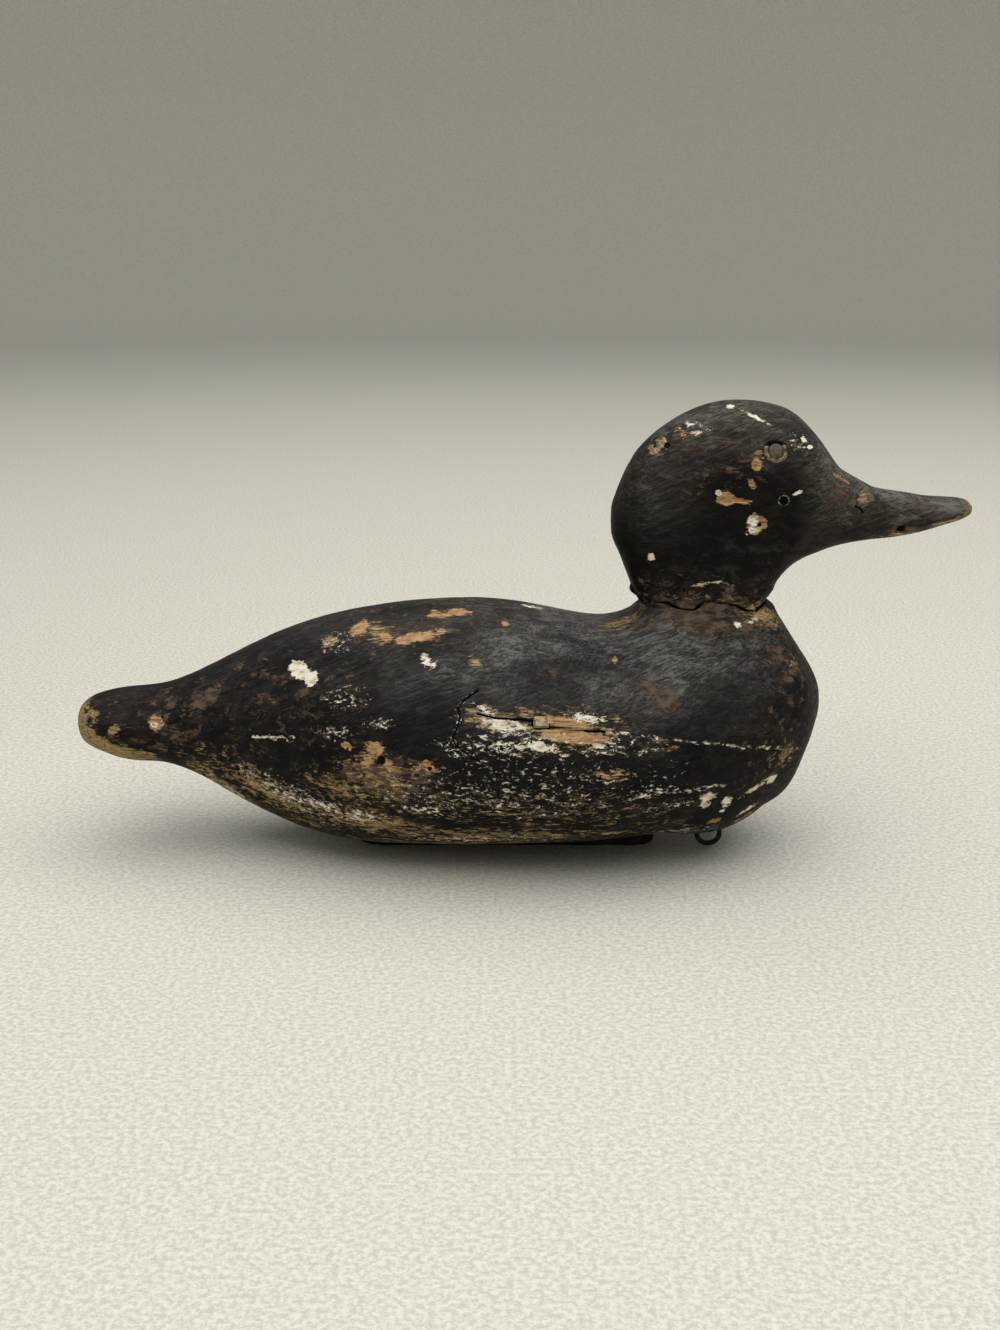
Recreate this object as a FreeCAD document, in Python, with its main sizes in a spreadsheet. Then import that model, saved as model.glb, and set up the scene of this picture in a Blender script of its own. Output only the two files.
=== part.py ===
"""A floating duck decoy: a carved wooden block body and a carved head, with the iron, lead, glass
and putty that finish it. Sizes are in millimetres. +X runs from the tail to the bill, +Y to the
decoy's own left, +Z up. The origin is on the ground below the middle of the length.
"""

import FreeCAD
import Part
import os

import Sketcher
from FreeCAD import Placement, Rotation, Vector

# ---------------------------------------------------------------- driving dimensions

# The lines of the two blocks are drawn the way a boat's are, as a table of offsets: one row for
# each upright section, from the tail to the breast and from the nape to the tip of the bill.
OFFSETS = ("x", "top", "bottom", "half", "crown", "shoulder")

BODY_OFFSETS = (
    (-207.5, 65.5, 56.5, 8.0, 0.62, 0.36),
    (-204.0, 69.5, 50.5, 15.0, 0.62, 0.36),
    (-195.0, 73.0, 46.5, 22.5, 0.62, 0.36),
    (-180.0, 75.0, 42.5, 25.5, 0.62, 0.36),
    (-158.0, 80.0, 39.5, 28.0, 0.62, 0.36),
    (-130.0, 94.0, 25.0, 37.0, 0.62, 0.36),
    (-100.0, 106.5, 11.5, 50.0, 0.62, 0.36),
    (-65.0, 114.0, 7.0, 65.0, 0.62, 0.36),
    (-25.0, 117.0, 8.0, 75.0, 0.62, 0.36),
    (15.0, 111.5, 10.0, 78.0, 0.62, 0.36),
    (48.0, 109.5, 12.0, 75.5, 0.58, 0.30),
    (62.0, 118.5, 12.5, 72.5, 0.48, 0.20),
    (84.0, 125.0, 13.8, 66.0, 0.42, 0.12),
    (105.0, 123.0, 18.4, 56.0, 0.42, 0.12),
    (124.0, 108.0, 28.5, 41.0, 0.60, 0.30),
    (134.5, 92.0, 49.0, 28.5, 0.62, 0.36),
    (139.5, 83.0, 61.0, 16.0, 0.62, 0.36),
    (141.5, 75.5, 69.0, 5.5, 0.62, 0.36),
)

HEAD_OFFSETS = (
    (43.0, 163.0, 151.0, 6.0, 0.62, 0.36),
    (46.0, 172.0, 142.5, 13.0, 0.62, 0.36),
    (52.0, 184.5, 127.0, 18.5, 0.62, 0.36),
    (62.0, 196.0, 108.0, 22.5, 0.62, 0.36),
    (76.0, 205.5, 100.0, 24.5, 0.62, 0.36),
    (92.0, 210.5, 99.0, 25.0, 0.62, 0.36),
    (107.0, 210.5, 110.0, 25.0, 0.62, 0.36),
    (116.0, 209.0, 123.0, 24.5, 0.62, 0.36),
    (123.0, 206.5, 133.0, 24.0, 0.62, 0.36),
    (135.0, 196.0, 140.5, 21.5, 0.62, 0.36),
    (148.0, 179.0, 145.0, 16.5, 0.62, 0.36),
    (160.0, 172.0, 147.0, 14.0, 0.62, 0.36),
    (175.0, 169.0, 149.0, 13.5, 0.62, 0.36),
    (192.0, 166.5, 153.5, 14.5, 0.62, 0.36),
    (203.0, 165.8, 157.2, 12.0, 0.62, 0.36),
    (207.5, 163.6, 159.6, 5.5, 0.62, 0.36),
)

# How full a section is, as parts of its own height and half width.
FORMS = {"body": {"waist": 0.47}, "head": {"waist": 0.55}}
FULLNESS = {"crown_rise": 0.88, "jowl": 0.30, "belly": 0.72, "belly_drop": 0.95}

DIMENSIONS = {
    # the joint between the head and the shelf on the body
    "seat_height": 118.0,
    "seat_start": 40.0,
    "seat_length": 95.0,
    "seat_width": 120.0,
    "seat_clearance": 40.0,
    "dowel_x": 84.0,
    "dowel_radius": 8.0,
    "dowel_length": 60.0,
    "dowel_foot": 88.0,
    # the fillet of putty round the joint
    "fillet_x": 84.0,
    "fillet_foot": 106.0,
    "fillet_top": 122.0,
    "fillet_foot_long": 36.0,
    "fillet_foot_wide": 29.0,
    "fillet_top_long": 29.5,
    "fillet_top_wide": 23.5,
    # the spike from the back of the head into the body
    "spike_x": 63.7,
    "spike_y": -10.9,
    "spike_z": 190.9,
    "spike_run": 0.45,
    "spike_fall": 0.89,
    "spike_depth": 5.0,
    "spike_length": 100.0,
    "spike_shank_radius": 2.2,
    "spike_head_radius": 4.0,
    "spike_head_thick": 2.0,
    "spike_plug_blank": 15.0,
    # toe nails through the foot of the neck, and how far a sunk nail's hole is open above it
    "sink_reach": 12.0,
    "toe_length": 34.0,
    "toe_shank_radius": 1.2,
    "toe_head_radius": 2.5,
    "toe_head_thick": 1.0,
    # one eye, its bed of putty and its wire
    "eye_x": 114.1,
    "eye_y": 21.5,
    "eye_z": 190.9,
    "eye_outward_y": 0.93,
    "eye_outward_z": 0.36,
    "eye_radius": 3.5,
    "eye_thick": 3.5,
    "eye_proud": 0.2,
    "eye_edge": 1.2,
    "bed_radius": 5.2,
    "bed_depth": 4.3,
    "bed_sink": 0.3,
    "bed_seat_open": 1.0,
    "wire_radius": 0.6,
    "wire_length": 12.0,
    # the sliver let into the side check, and the filler behind it
    "wedge_x": 9.5,
    "wedge_z": 80.5,
    "wedge_long": 6.6,
    "wedge_high": 4.6,
    "wedge_inner": -62.0,
    "filler_x": 13.0,
    "filler_long": 25.0,
    "filler_high": 5.0,
    "filler_inner": -68.0,
    "filler_z": 75.3,
    "skin_out": 90.0,
    # lead under the hull, and its nails
    "lead_start": -76.0,
    "lead_length": 142.0,
    "lead_width": 22.0,
    "lead_corner": 9.9,
    "lead_blank": 20.0,
    "lead_nail_first": -62.0,
    "lead_nail_pitch": 38.0,
    "lead_nail_offset": 4.0,
    "lead_nail_sink": 0.5,
    "lead_nail_length": 28.0,
    "lead_nail_shank_radius": 1.4,
    "lead_nail_head_radius": 3.4,
    "lead_nail_head_thick": 1.4,
    # the anchor line's staple and ring
    "staple_x": 91.0,
    "staple_y": -12.0,
    "crown_height": 9.6,
    "wire_thick": 2.4,
    "staple_half": 5.5,
    "staple_corner": 2.0,
    "staple_top": 30.0,
    "ring_outer": 13.2,
    "ring_play": 0.3,
}

# Each toe nail: where it enters the foot of the neck, and the way it is driven.
TOE_NAIL_WORDS = ("x", "y", "z", "way_x", "way_y", "way_z")
TOE_NAILS = (
    (107.5, 3.0, 121.0, -0.60, 0.35, -0.72),
    (86.0, 17.5, 121.0, 0.28, -0.58, -0.77),
    (72.0, -17.0, 121.0, -0.20, 0.60, -0.77),
)
LEAD_NAILS = 4

NAIL_POINT = 2.5  # the length of a nail's point, in shank radii
TOUCHING = 1e-6  # how near two points are to be one
LARGEST_SEAT = 0.25  # the most of a block that the cut for its seat may take

doc = FreeCAD.newDocument("duck_decoy")
sheet = doc.addObject("Spreadsheet::Sheet", "dims")
next_row = 1


def cell(alias, value):
    """Put a number in the next row of the sheet, under a name."""
    global next_row
    sheet.set("A%d" % next_row, alias.replace("_", " "))
    sheet.set("B%d" % next_row, str(value))
    sheet.setAlias("B%d" % next_row, alias)
    next_row += 1


def fill_sheet():
    """Write every driving dimension into the sheet."""
    for alias, value in DIMENSIONS.items():
        cell(alias, value)
    for alias, value in FULLNESS.items():
        cell(alias, value)
    for form, table in (("body", BODY_OFFSETS), ("head", HEAD_OFFSETS)):
        for alias, value in FORMS[form].items():
            cell("%s_%s" % (form, alias), value)
        for number, offsets in enumerate(table, 1):
            for word, value in zip(OFFSETS, offsets):
                cell("%s_%d_%s" % (form, number, word), value)
    for number, row in enumerate(TOE_NAILS, 1):
        for word, value in zip(TOE_NAIL_WORDS, row):
            cell("toe_%d_%s" % (number, word), value)
    doc.recompute()


def size(alias):
    """Read a number back from the sheet."""
    return float(sheet.get(alias))


# ---------------------------------------------------------------- sketching helpers

def plane(body, role):
    """One of a body's own origin planes."""
    return [f for f in body.Origin.OriginFeatures if f.Role == role][0]


def new_body(label):
    """An empty body under the name of the sub-part it will be."""
    body = doc.addObject("PartDesign::Body", label)
    body.Label = label
    return body


def new_sketch(body, name, role, offset=None):
    """A sketch on one of the body's origin planes, lifted off it by an expression if given."""
    sketch = body.newObject("Sketcher::SketchObject", name)
    sketch.AttachmentSupport = [(plane(body, role), "")]
    sketch.MapMode = "FlatFace"
    if offset:
        sketch.setExpression("AttachmentOffset.Base.z", offset)
    return sketch


def value_of(owner, expression):
    """What an expression of the sheet's cells comes to, as a plain number."""
    found = owner.evalExpression(expression)
    return float(getattr(found, "Value", found))


def hold_point(sketch, geometry, place, across, along):
    """Fix a point of a sketch by two expressions; None leaves it on the axis of that direction."""
    for kind, expression, axis in (("DistanceX", across, -2), ("DistanceY", along, -1)):
        if expression is None:
            sketch.addConstraint(Sketcher.Constraint("PointOnObject", geometry, place, axis))
        else:
            value = value_of(sketch, expression)
            index = sketch.addConstraint(
                Sketcher.Constraint(kind, -1, 1, geometry, place, value))
            sketch.setExpression("Constraints[%d]" % index, expression)


def polygon(sketch, corners):
    """A closed outline of straight lines through corners given as pairs of expressions."""
    spots = [Vector(value_of(sketch, x) if x else 0.0, value_of(sketch, y) if y else 0.0, 0.0)
             for x, y in corners]
    count = len(spots)
    for i in range(count):
        sketch.addGeometry(Part.LineSegment(spots[i], spots[(i + 1) % count]), False)
    for i in range(count):
        sketch.addConstraint(Sketcher.Constraint("Coincident", i, 2, (i + 1) % count, 1))
    for i, (x, y) in enumerate(corners):
        hold_point(sketch, i, 1, x, y)


def circle(sketch, radius, across=None, along=None):
    """A circle of a given radius, with its centre at the sketch's origin or at expressions."""
    index = sketch.addGeometry(
        Part.Circle(Vector(0.0, 0.0, 0.0), Vector(0.0, 0.0, 1.0), value_of(sketch, radius)), False)
    number = sketch.addConstraint(
        Sketcher.Constraint("Radius", index, value_of(sketch, radius)))
    sketch.setExpression("Constraints[%d]" % number, radius)
    if across is None and along is None:
        sketch.addConstraint(Sketcher.Constraint("Coincident", index, 3, -1, 1))
    else:
        hold_point(sketch, index, 3, across, along)


# ---------------------------------------------------------------- the carved blocks

def half_section(form, number):
    """The control points down one half of a section, as (across, up) expressions.

    The curve through them meets the offsets exactly: its highest and lowest points are the
    station's top and bottom, and its widest point is the station's half width.
    """
    top, bottom, half, crown, shoulder = (
        "dims.%s_%d_%s" % (form, number, word) for word in OFFSETS[1:])
    waist = "(%s + (%s - %s) * dims.%s_waist)" % (bottom, top, bottom, form)
    rise = "(%s - %s)" % (top, waist)
    drop = "(%s - %s)" % (waist, bottom)
    side = "%s * (48 - %s - dims.belly) / 46" % (half, crown)
    return (
        (None, "%s + %s * (3 - dims.crown_rise) / 2" % (waist, rise)),
        ("%s * %s" % (half, crown), "%s + %s * dims.crown_rise" % (waist, rise)),
        (side, "%s + %s * %s" % (waist, rise, shoulder)),
        (side, "%s - %s * dims.jowl" % (waist, drop)),
        ("%s * dims.belly" % half, "%s - %s * dims.belly_drop" % (waist, drop)),
        (None, "%s - %s * (3 - dims.belly_drop) / 2" % (waist, drop)),
    )


def section(body, form, number):
    """One upright section of a carved block: a closed smooth curve, the same on both sides."""
    sketch = new_sketch(body, "%s_section_%d" % (form, number), "YZ_Plane",
                        "dims.%s_%d_x" % (form, number))
    half = half_section(form, number)
    right = [Vector(value_of(sketch, y) if y else 0.0, value_of(sketch, z), 0.0) for y, z in half]
    left = [Vector(-p.x, p.y, 0.0) for p in right[-2:0:-1]]
    poles = right + left
    count = len(poles)
    curve = Part.BSplineCurve()
    curve.buildFromPolesMultsKnots(poles, [1] * (count + 1), list(range(count + 1)), True, 3)
    sketch.addGeometry(curve, False)
    sketch.exposeInternalGeometry(0)
    for index, (across, up) in enumerate(half, 1):
        hold_point(sketch, index, 3, across, up)
        if across:
            mirrored = count + 2 - index
            sketch.addConstraint(Sketcher.Constraint("Symmetric", index, 3, mirrored, 3, -2))
    return sketch


def carved_block(label, form, table):
    """A block whose surface runs smoothly through the sections of its table of offsets."""
    body = new_body(label)
    sections = [section(body, form, number + 1) for number in range(len(table))]
    doc.recompute()
    loft = body.newObject("PartDesign::AdditiveLoft", form + "_lines")
    loft.Profile = sections[0]
    loft.Sections = sections[1:]
    loft.Ruled = False
    loft.Closed = False
    doc.recompute()
    return body


def cut_seat(body, upward):
    """Plane a block flat at the height where the head and the body meet."""
    before = body.Shape.Volume
    sketch = new_sketch(body, body.Label + "_seat", "XY_Plane", "dims.seat_height")
    ends = ("dims.seat_start", "dims.seat_start + dims.seat_length")
    sides = ("-dims.seat_width / 2", "dims.seat_width / 2")
    polygon(sketch, ((ends[0], sides[0]), (ends[1], sides[0]), (ends[1], sides[1]),
                     (ends[0], sides[1])))
    cut = body.newObject("PartDesign::Pocket", body.Label + "_seat_cut")
    cut.Profile = sketch
    cut.Reversed = upward
    cut.setExpression("Length", "dims.seat_clearance")
    doc.recompute()
    if not 0.0 < before - body.Shape.Volume < before * LARGEST_SEAT:
        raise RuntimeError("the seat of %s wasn't cut" % body.Label)


def drill(body, name, start, direction, radius, length):
    """A round hole from a point, along a direction; radius and length are expressions."""
    before = body.Shape.Volume
    hole = body.newObject("PartDesign::SubtractiveCylinder", name)
    hole.AttachmentSupport = [(plane(body, "XY_Plane"), "")]
    hole.MapMode = "FlatFace"
    hole.AttachmentOffset = Placement(start, Rotation(Vector(0.0, 0.0, 1.0), direction))
    hole.setExpression("Radius", radius)
    hole.setExpression("Height", length)
    doc.recompute()
    if not body.Shape.Volume < before:
        raise RuntimeError("%s cut nothing from %s" % (name, body.Label))


# ---------------------------------------------------------------- turned and drawn pieces

def rod(label, radius, length, start, direction):
    """A plain round rod."""
    body = new_body(label)
    piece = body.newObject("PartDesign::AdditiveCylinder", label + "_rod")
    piece.setExpression("Radius", radius)
    piece.setExpression("Height", length)
    body.Placement = Placement(start, Rotation(Vector(0.0, 0.0, 1.0), direction))
    return body


def nail(label, kind, start, direction):
    """A round-headed nail, turned from its half outline; its head's top is at the start."""
    head, thick, shank, length = (
        "dims.%s_%s" % (kind, word)
        for word in ("head_radius", "head_thick", "shank_radius", "length"))
    shoulder = "%s - %s * %s" % (length, shank, NAIL_POINT)
    body = new_body(label)
    sketch = new_sketch(body, label + "_outline", "XZ_Plane")
    polygon(sketch, ((None, None), (head, None), (head, thick), (shank, thick),
                     (shank, shoulder), (None, length)))
    turned = body.newObject("PartDesign::Revolution", label + "_turned")
    turned.Profile = sketch
    turned.ReferenceAxis = (sketch, ["V_Axis"])
    turned.Angle = 360.0
    body.Placement = Placement(start, Rotation(Vector(0.0, 0.0, 1.0), direction))
    return body


def nail_hole(block, name, kind, start, direction):
    """The hole that a nail's shank and sunk head fill in a block, open above the head."""
    above = start - direction * size("sink_reach")
    drill(block, name + "_sink", above, direction, "dims.%s_head_radius" % kind,
          "dims.sink_reach + dims.%s_head_thick" % kind)
    shank_hole(block, name, kind, start, direction)


def shank_hole(block, name, kind, start, direction):
    """The hole that a nail's shank makes; in the second block it enters, there is no other."""
    drill(block, name, start, direction, "dims.%s_shank_radius" % kind, "dims.%s_length" % kind)


def flush_with(label, blank, block_lines):
    """The part of a blank that lies within a block's carved surface."""
    fitted = doc.addObject("Part::Common", label)
    fitted.Base = blank
    fitted.Tool = block_lines
    fitted.Label = label
    return fitted


# ---------------------------------------------------------------- sub-assemblies

def build_blocks():
    """The body and the head, cut flat where they meet."""
    block = carved_block("body_block", "body", BODY_OFFSETS)
    head = carved_block("head_block", "head", HEAD_OFFSETS)
    block_lines = block.Tip
    head_lines = head.Tip
    cut_seat(block, True)
    cut_seat(head, False)
    return block, head, block_lines, head_lines, (block.Tip, head.Tip)


def build_neck(block, head, head_lines):
    """Dowel, spike, toe nails and the putty at the joint of the head and body."""
    foot = Vector(size("dowel_x"), 0.0, size("dowel_foot"))
    up = Vector(0.0, 0.0, 1.0)
    dowel = rod("neck_dowel", "dims.dowel_radius", "dims.dowel_length", foot, up)
    for part in (block, head):
        drill(part, part.Label + "_dowel_hole", foot, up, "dims.dowel_radius", "dims.dowel_length")

    driven = Vector(size("spike_run"), 0.0, -size("spike_fall")).normalize()
    entry = Vector(size("spike_x"), size("spike_y"), size("spike_z"))
    start = entry + driven * size("spike_depth")
    spike = nail("head_spike", "spike", start, driven)
    nail_hole(head, "head_spike_hole", "spike", start, driven)
    shank_hole(block, "body_spike_hole", "spike", start, driven)

    plug = doc.addObject("Part::Cylinder", "spike_plug_blank")
    plug.setExpression("Radius", "dims.spike_head_radius")
    plug.setExpression("Height", "dims.spike_plug_blank")
    plug.Placement = Placement(start - driven * size("spike_plug_blank"), Rotation(up, driven))
    filled = flush_with("spike_putty", plug, head_lines)

    nails = []
    for number in range(1, len(TOE_NAILS) + 1):
        sizes = [size("toe_%d_%s" % (number, word)) for word in TOE_NAIL_WORDS]
        place = Vector(*sizes[:3])
        way = Vector(*sizes[3:]).normalize()
        label = "neck_nail_%d" % number
        nails.append(nail(label, "toe", place, way))
        nail_hole(head, "head_" + label, "toe", place, way)
        shank_hole(block, "body_" + label, "toe", place, way)
    return [dowel, spike, filled] + nails


def ellipse(sketch, long_half, wide_half):
    """An ellipse on the decoy's centre line, at the middle of the neck."""
    centre = Vector(value_of(sketch, "dims.fillet_x"), 0.0, 0.0)
    along = value_of(sketch, long_half)
    wide = value_of(sketch, wide_half)
    curve = Part.Ellipse(centre + Vector(along, 0.0, 0.0), centre + Vector(0.0, wide, 0.0), centre)
    sketch.addGeometry(curve, False)
    sketch.exposeInternalGeometry(0)
    hold_point(sketch, 0, 3, "dims.fillet_x", None)
    far = 1 if sketch.getPoint(1, 1).x > centre.x else 2
    hold_point(sketch, 1, far, "dims.fillet_x + " + long_half, None)
    near = 1 if sketch.getPoint(2, 1).y > 0.0 else 2
    index = sketch.addConstraint(Sketcher.Constraint("DistanceY", -1, 1, 2, near, wide))
    sketch.setExpression("Constraints[%d]" % index, wide_half)


def build_neck_putty(seated):
    """The fillet of putty: an oval collar less the two seated blocks it is pressed against."""
    collar = new_body("putty_collar")
    rings = []
    for name, height in (("foot", "dims.fillet_foot"), ("top", "dims.fillet_top")):
        sketch = new_sketch(collar, "putty_" + name, "XY_Plane", height)
        ellipse(sketch, "dims.fillet_%s_long" % name, "dims.fillet_%s_wide" % name)
        rings.append(sketch)
    doc.recompute()
    loft = collar.newObject("PartDesign::AdditiveLoft", "putty_slope")
    loft.Profile = rings[0]
    loft.Sections = rings[1:]
    doc.recompute()
    wood = doc.addObject("Part::MultiFuse", "neck_wood")
    wood.Shapes = list(seated)
    putty = doc.addObject("Part::Cut", "neck_putty")
    putty.Base = collar
    putty.Tool = wood
    putty.Label = "neck_putty"
    return putty


def build_eyes(head):
    """Two glass eyes, each in a bed of putty, with the wire that holds it."""
    pieces = []
    for word, side in (("left", 1.0), ("right", -1.0)):
        outward = Vector(0.0, size("eye_outward_y") * side, size("eye_outward_z")).normalize()
        inward = outward * -1.0
        surface = Vector(size("eye_x"), size("eye_y") * side, size("eye_z"))
        turn = Rotation(Vector(0.0, 0.0, 1.0), inward)
        drill(head, "eye_socket_" + word, surface + outward * size("bed_depth"), inward,
              "dims.bed_radius", "dims.bed_depth * 2")

        front = surface + outward * size("eye_proud")
        glass = new_body("eye_" + word)
        disc = glass.newObject("PartDesign::AdditiveCylinder", "glass_" + word)
        disc.setExpression("Radius", "dims.eye_radius")
        disc.setExpression("Height", "dims.eye_thick")
        doc.recompute()
        rim = [name for name, edge in named_edges(disc)
               if edge.CenterOfMass.Length < TOUCHING and edge.Closed]
        dome = glass.newObject("PartDesign::Fillet", "dome_" + word)
        dome.Base = (disc, rim)
        dome.setExpression("Radius", "dims.eye_edge")
        glass.Placement = Placement(front, turn)

        bed = new_body("eye_putty_" + word)
        cup = bed.newObject("PartDesign::AdditiveCylinder", "bed_" + word)
        cup.setExpression("Radius", "dims.bed_radius")
        cup.setExpression("Height", "dims.bed_depth - dims.bed_sink")
        doc.recompute()
        bed.Placement = Placement(surface - outward * size("bed_sink"), turn)
        back = size("eye_thick") - size("eye_proud") - size("bed_sink")
        drill(bed, "eye_seat_" + word, Vector(0.0, 0.0, -size("bed_seat_open")),
              Vector(0.0, 0.0, 1.0), "dims.eye_radius",
              "dims.eye_thick - dims.eye_proud - dims.bed_sink + dims.bed_seat_open")
        drill(bed, "wire_way_" + word, Vector(0.0, 0.0, back), Vector(0.0, 0.0, 1.0),
              "dims.wire_radius", "dims.wire_length")

        root = front + inward * size("eye_thick")
        drill(head, "wire_hole_" + word, root, inward, "dims.wire_radius", "dims.wire_length")
        wire = rod("eye_wire_" + word, "dims.wire_radius", "dims.wire_length", root, inward)
        pieces += [glass, bed, wire]
    return pieces


def named_edges(feature):
    """Each edge of a feature's shape with the name that other features know it by."""
    return [("Edge%d" % number, edge) for number, edge in enumerate(feature.Shape.Edges, 1)]


def box(name, x, length, y, width, z, height):
    """A plain rectangular blank, from expressions for its corner and its sides."""
    blank = doc.addObject("Part::Box", name)
    for word, expression in (("Length", length), ("Width", width), ("Height", height),
                             ("Placement.Base.x", x), ("Placement.Base.y", y),
                             ("Placement.Base.z", z)):
        blank.setExpression(word, expression)
    return blank


def pocket_box(body, name, x, length, y, width, z, height):
    """A rectangular hollow in a body, from expressions for its corner and its sides."""
    before = body.Shape.Volume
    hollow = body.newObject("PartDesign::SubtractiveBox", name)
    hollow.AttachmentSupport = [(plane(body, "XY_Plane"), "")]
    hollow.MapMode = "FlatFace"
    for word, expression in (("Length", length), ("Width", width), ("Height", height),
                             ("AttachmentOffset.Base.x", x), ("AttachmentOffset.Base.y", y),
                             ("AttachmentOffset.Base.z", z)):
        hollow.setExpression(word, expression)
    doc.recompute()
    if not body.Shape.Volume < before:
        raise RuntimeError("%s cut nothing from %s" % (name, body.Label))


def build_check_repair(block, block_lines):
    """The sliver and the filler let into the long drying check in the decoy's right side."""
    outside = "-dims.skin_out"
    wedge = ("dims.wedge_x - dims.wedge_long / 2", "dims.wedge_long", outside,
             "dims.skin_out + dims.wedge_inner", "dims.wedge_z - dims.wedge_high / 2",
             "dims.wedge_high")
    filler = ("dims.filler_x", "dims.filler_long", outside,
              "dims.skin_out + dims.filler_inner", "dims.filler_z - dims.filler_high / 2",
              "dims.filler_high")
    pieces = []
    for label, sizes in (("check_wedge", wedge), ("check_filler", filler)):
        blank = box(label + "_blank", *sizes)
        pocket_box(block, label + "_pocket", *sizes)
        pieces.append(flush_with(label, blank, block_lines))
    return pieces


def build_ballast(block, block_lines):
    """The lead under the hull, hollowed to fit it, and the nails that hold it."""
    up = Vector(0.0, 0.0, 1.0)
    body = new_body("lead_bar")
    outline = new_sketch(body, "lead_outline", "XY_Plane")
    half = "dims.lead_width / 2"
    ends = ("dims.lead_start", "dims.lead_start + dims.lead_length")
    polygon(outline, ((ends[0], "-" + half), (ends[1], "-" + half), (ends[1], half),
                      (ends[0], half)))
    bar = body.newObject("PartDesign::Pad", "lead_pad")
    bar.Profile = outline
    bar.setExpression("Length", "dims.lead_blank")
    doc.recompute()
    corners = [name for name, edge in named_edges(bar)
               if abs(edge.Vertexes[0].Z - edge.Vertexes[-1].Z) > TOUCHING]
    rounding = body.newObject("PartDesign::Fillet", "lead_corners")
    rounding.Base = (bar, corners)
    rounding.setExpression("Radius", "dims.lead_corner")
    doc.recompute()

    pieces = []
    for number in range(LEAD_NAILS):
        label = "ballast_nail_%d" % (number + 1)
        offset = size("lead_nail_offset") * (1.0 if number % 2 else -1.0)
        start = Vector(size("lead_nail_first") + size("lead_nail_pitch") * number, offset,
                       size("lead_nail_sink"))
        pieces.append(nail(label, "lead_nail", start, up))
        nail_hole(body, "lead_" + label, "lead_nail", start, up)
        shank_hole(block, "hull_" + label, "lead_nail", start, up)

    weight = doc.addObject("Part::Cut", "ballast_weight")
    weight.Base = body
    weight.Tool = block_lines
    weight.Label = "ballast_weight"
    return [weight] + pieces


def build_line_fitting(block):
    """The staple in the breast and the ring that hangs in it."""
    staple_x = size("staple_x")
    middle = size("staple_y")
    crown = size("crown_height")
    corner = size("staple_corner")
    top = size("staple_top")
    right_leg = middle - size("staple_half")
    left_leg = middle + size("staple_half")
    up = Vector(0.0, 0.0, 1.0)
    for word, leg in (("left", left_leg), ("right", right_leg)):
        drill(block, "staple_hole_" + word, Vector(staple_x, leg, crown + corner), up,
              "dims.wire_thick / 2", "dims.staple_top - dims.crown_height - dims.staple_corner")

    # the staple is bent from one wire: two legs, two rounded corners and the crown between them
    bend = corner * (1.0 - 0.5 ** 0.5)
    staple = new_body("line_staple")
    path = new_sketch(staple, "staple_path", "YZ_Plane", "dims.staple_x")
    spots = [Vector(right_leg, top, 0.0), Vector(right_leg, crown + corner, 0.0),
             Vector(right_leg + corner, crown, 0.0), Vector(left_leg - corner, crown, 0.0),
             Vector(left_leg, crown + corner, 0.0), Vector(left_leg, top, 0.0)]
    elbows = [Vector(right_leg + bend, crown + bend, 0.0),
              Vector(left_leg - bend, crown + bend, 0.0)]
    wires = [Part.LineSegment(spots[0], spots[1]), Part.Arc(spots[1], elbows[0], spots[2]),
             Part.LineSegment(spots[2], spots[3]), Part.Arc(spots[3], elbows[1], spots[4]),
             Part.LineSegment(spots[4], spots[5])]
    for wire in wires:
        path.addGeometry(wire, False)
    hold_staple_path(path)
    profile = new_sketch(staple, "staple_wire", "XY_Plane", "dims.staple_top")
    circle(profile, "dims.wire_thick / 2", "dims.staple_x", "dims.staple_y - dims.staple_half")
    doc.recompute()
    pipe = staple.newObject("PartDesign::AdditivePipe", "staple_bent")
    pipe.Profile = profile
    pipe.Spine = (path, ["Edge%d" % (n + 1) for n in range(len(wires))])

    # the ring's wire passes over the crown, and its own width hangs below
    ring = doc.addObject("Part::Torus", "line_ring")
    ring.Label = "line_ring"
    mean = "(dims.ring_outer - dims.wire_thick) / 2"
    ring.setExpression("Radius1", mean)
    ring.setExpression("Radius2", "dims.wire_thick / 2")
    ring.Placement = Placement(Vector(0.0, 0.0, 0.0), Rotation(Vector(1.0, 0.0, 0.0), 90.0))
    ring.setExpression("Placement.Base.x", "dims.staple_x")
    ring.setExpression("Placement.Base.y", "dims.staple_y")
    ring.setExpression("Placement.Base.z",
                       "dims.crown_height + dims.wire_thick + dims.ring_play - " + mean)
    return [staple, ring]


def hold_staple_path(path):
    """Tie the staple's five stretches end to end and to the sheet."""
    right_leg = "dims.staple_y - dims.staple_half"
    left_leg = "dims.staple_y + dims.staple_half"
    elbow = "dims.crown_height + dims.staple_corner"
    hold_point(path, 0, 1, right_leg, "dims.staple_top")
    hold_point(path, 0, 2, right_leg, elbow)
    hold_point(path, 2, 1, right_leg + " + dims.staple_corner", "dims.crown_height")
    hold_point(path, 2, 2, left_leg + " - dims.staple_corner", "dims.crown_height")
    hold_point(path, 4, 1, left_leg, elbow)
    hold_point(path, 4, 2, left_leg, "dims.staple_top")
    for arc, before, after in ((1, 0, 2), (3, 2, 4)):
        tie(path, before, 2, arc)
        tie(path, after, 1, arc)
        index = path.addConstraint(
            Sketcher.Constraint("Radius", arc, value_of(path, "dims.staple_corner")))
        path.setExpression("Constraints[%d]" % index, "dims.staple_corner")


def tie(path, line, line_end, arc):
    """Join one end of a straight stretch to the end of the arc that lies on the same spot."""
    spot = path.getPoint(line, line_end)
    ends = [(path.getPoint(arc, end).distanceToPoint(spot), end) for end in (1, 2)]
    path.addConstraint(Sketcher.Constraint("Coincident", line, line_end, arc, min(ends)[1]))


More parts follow.
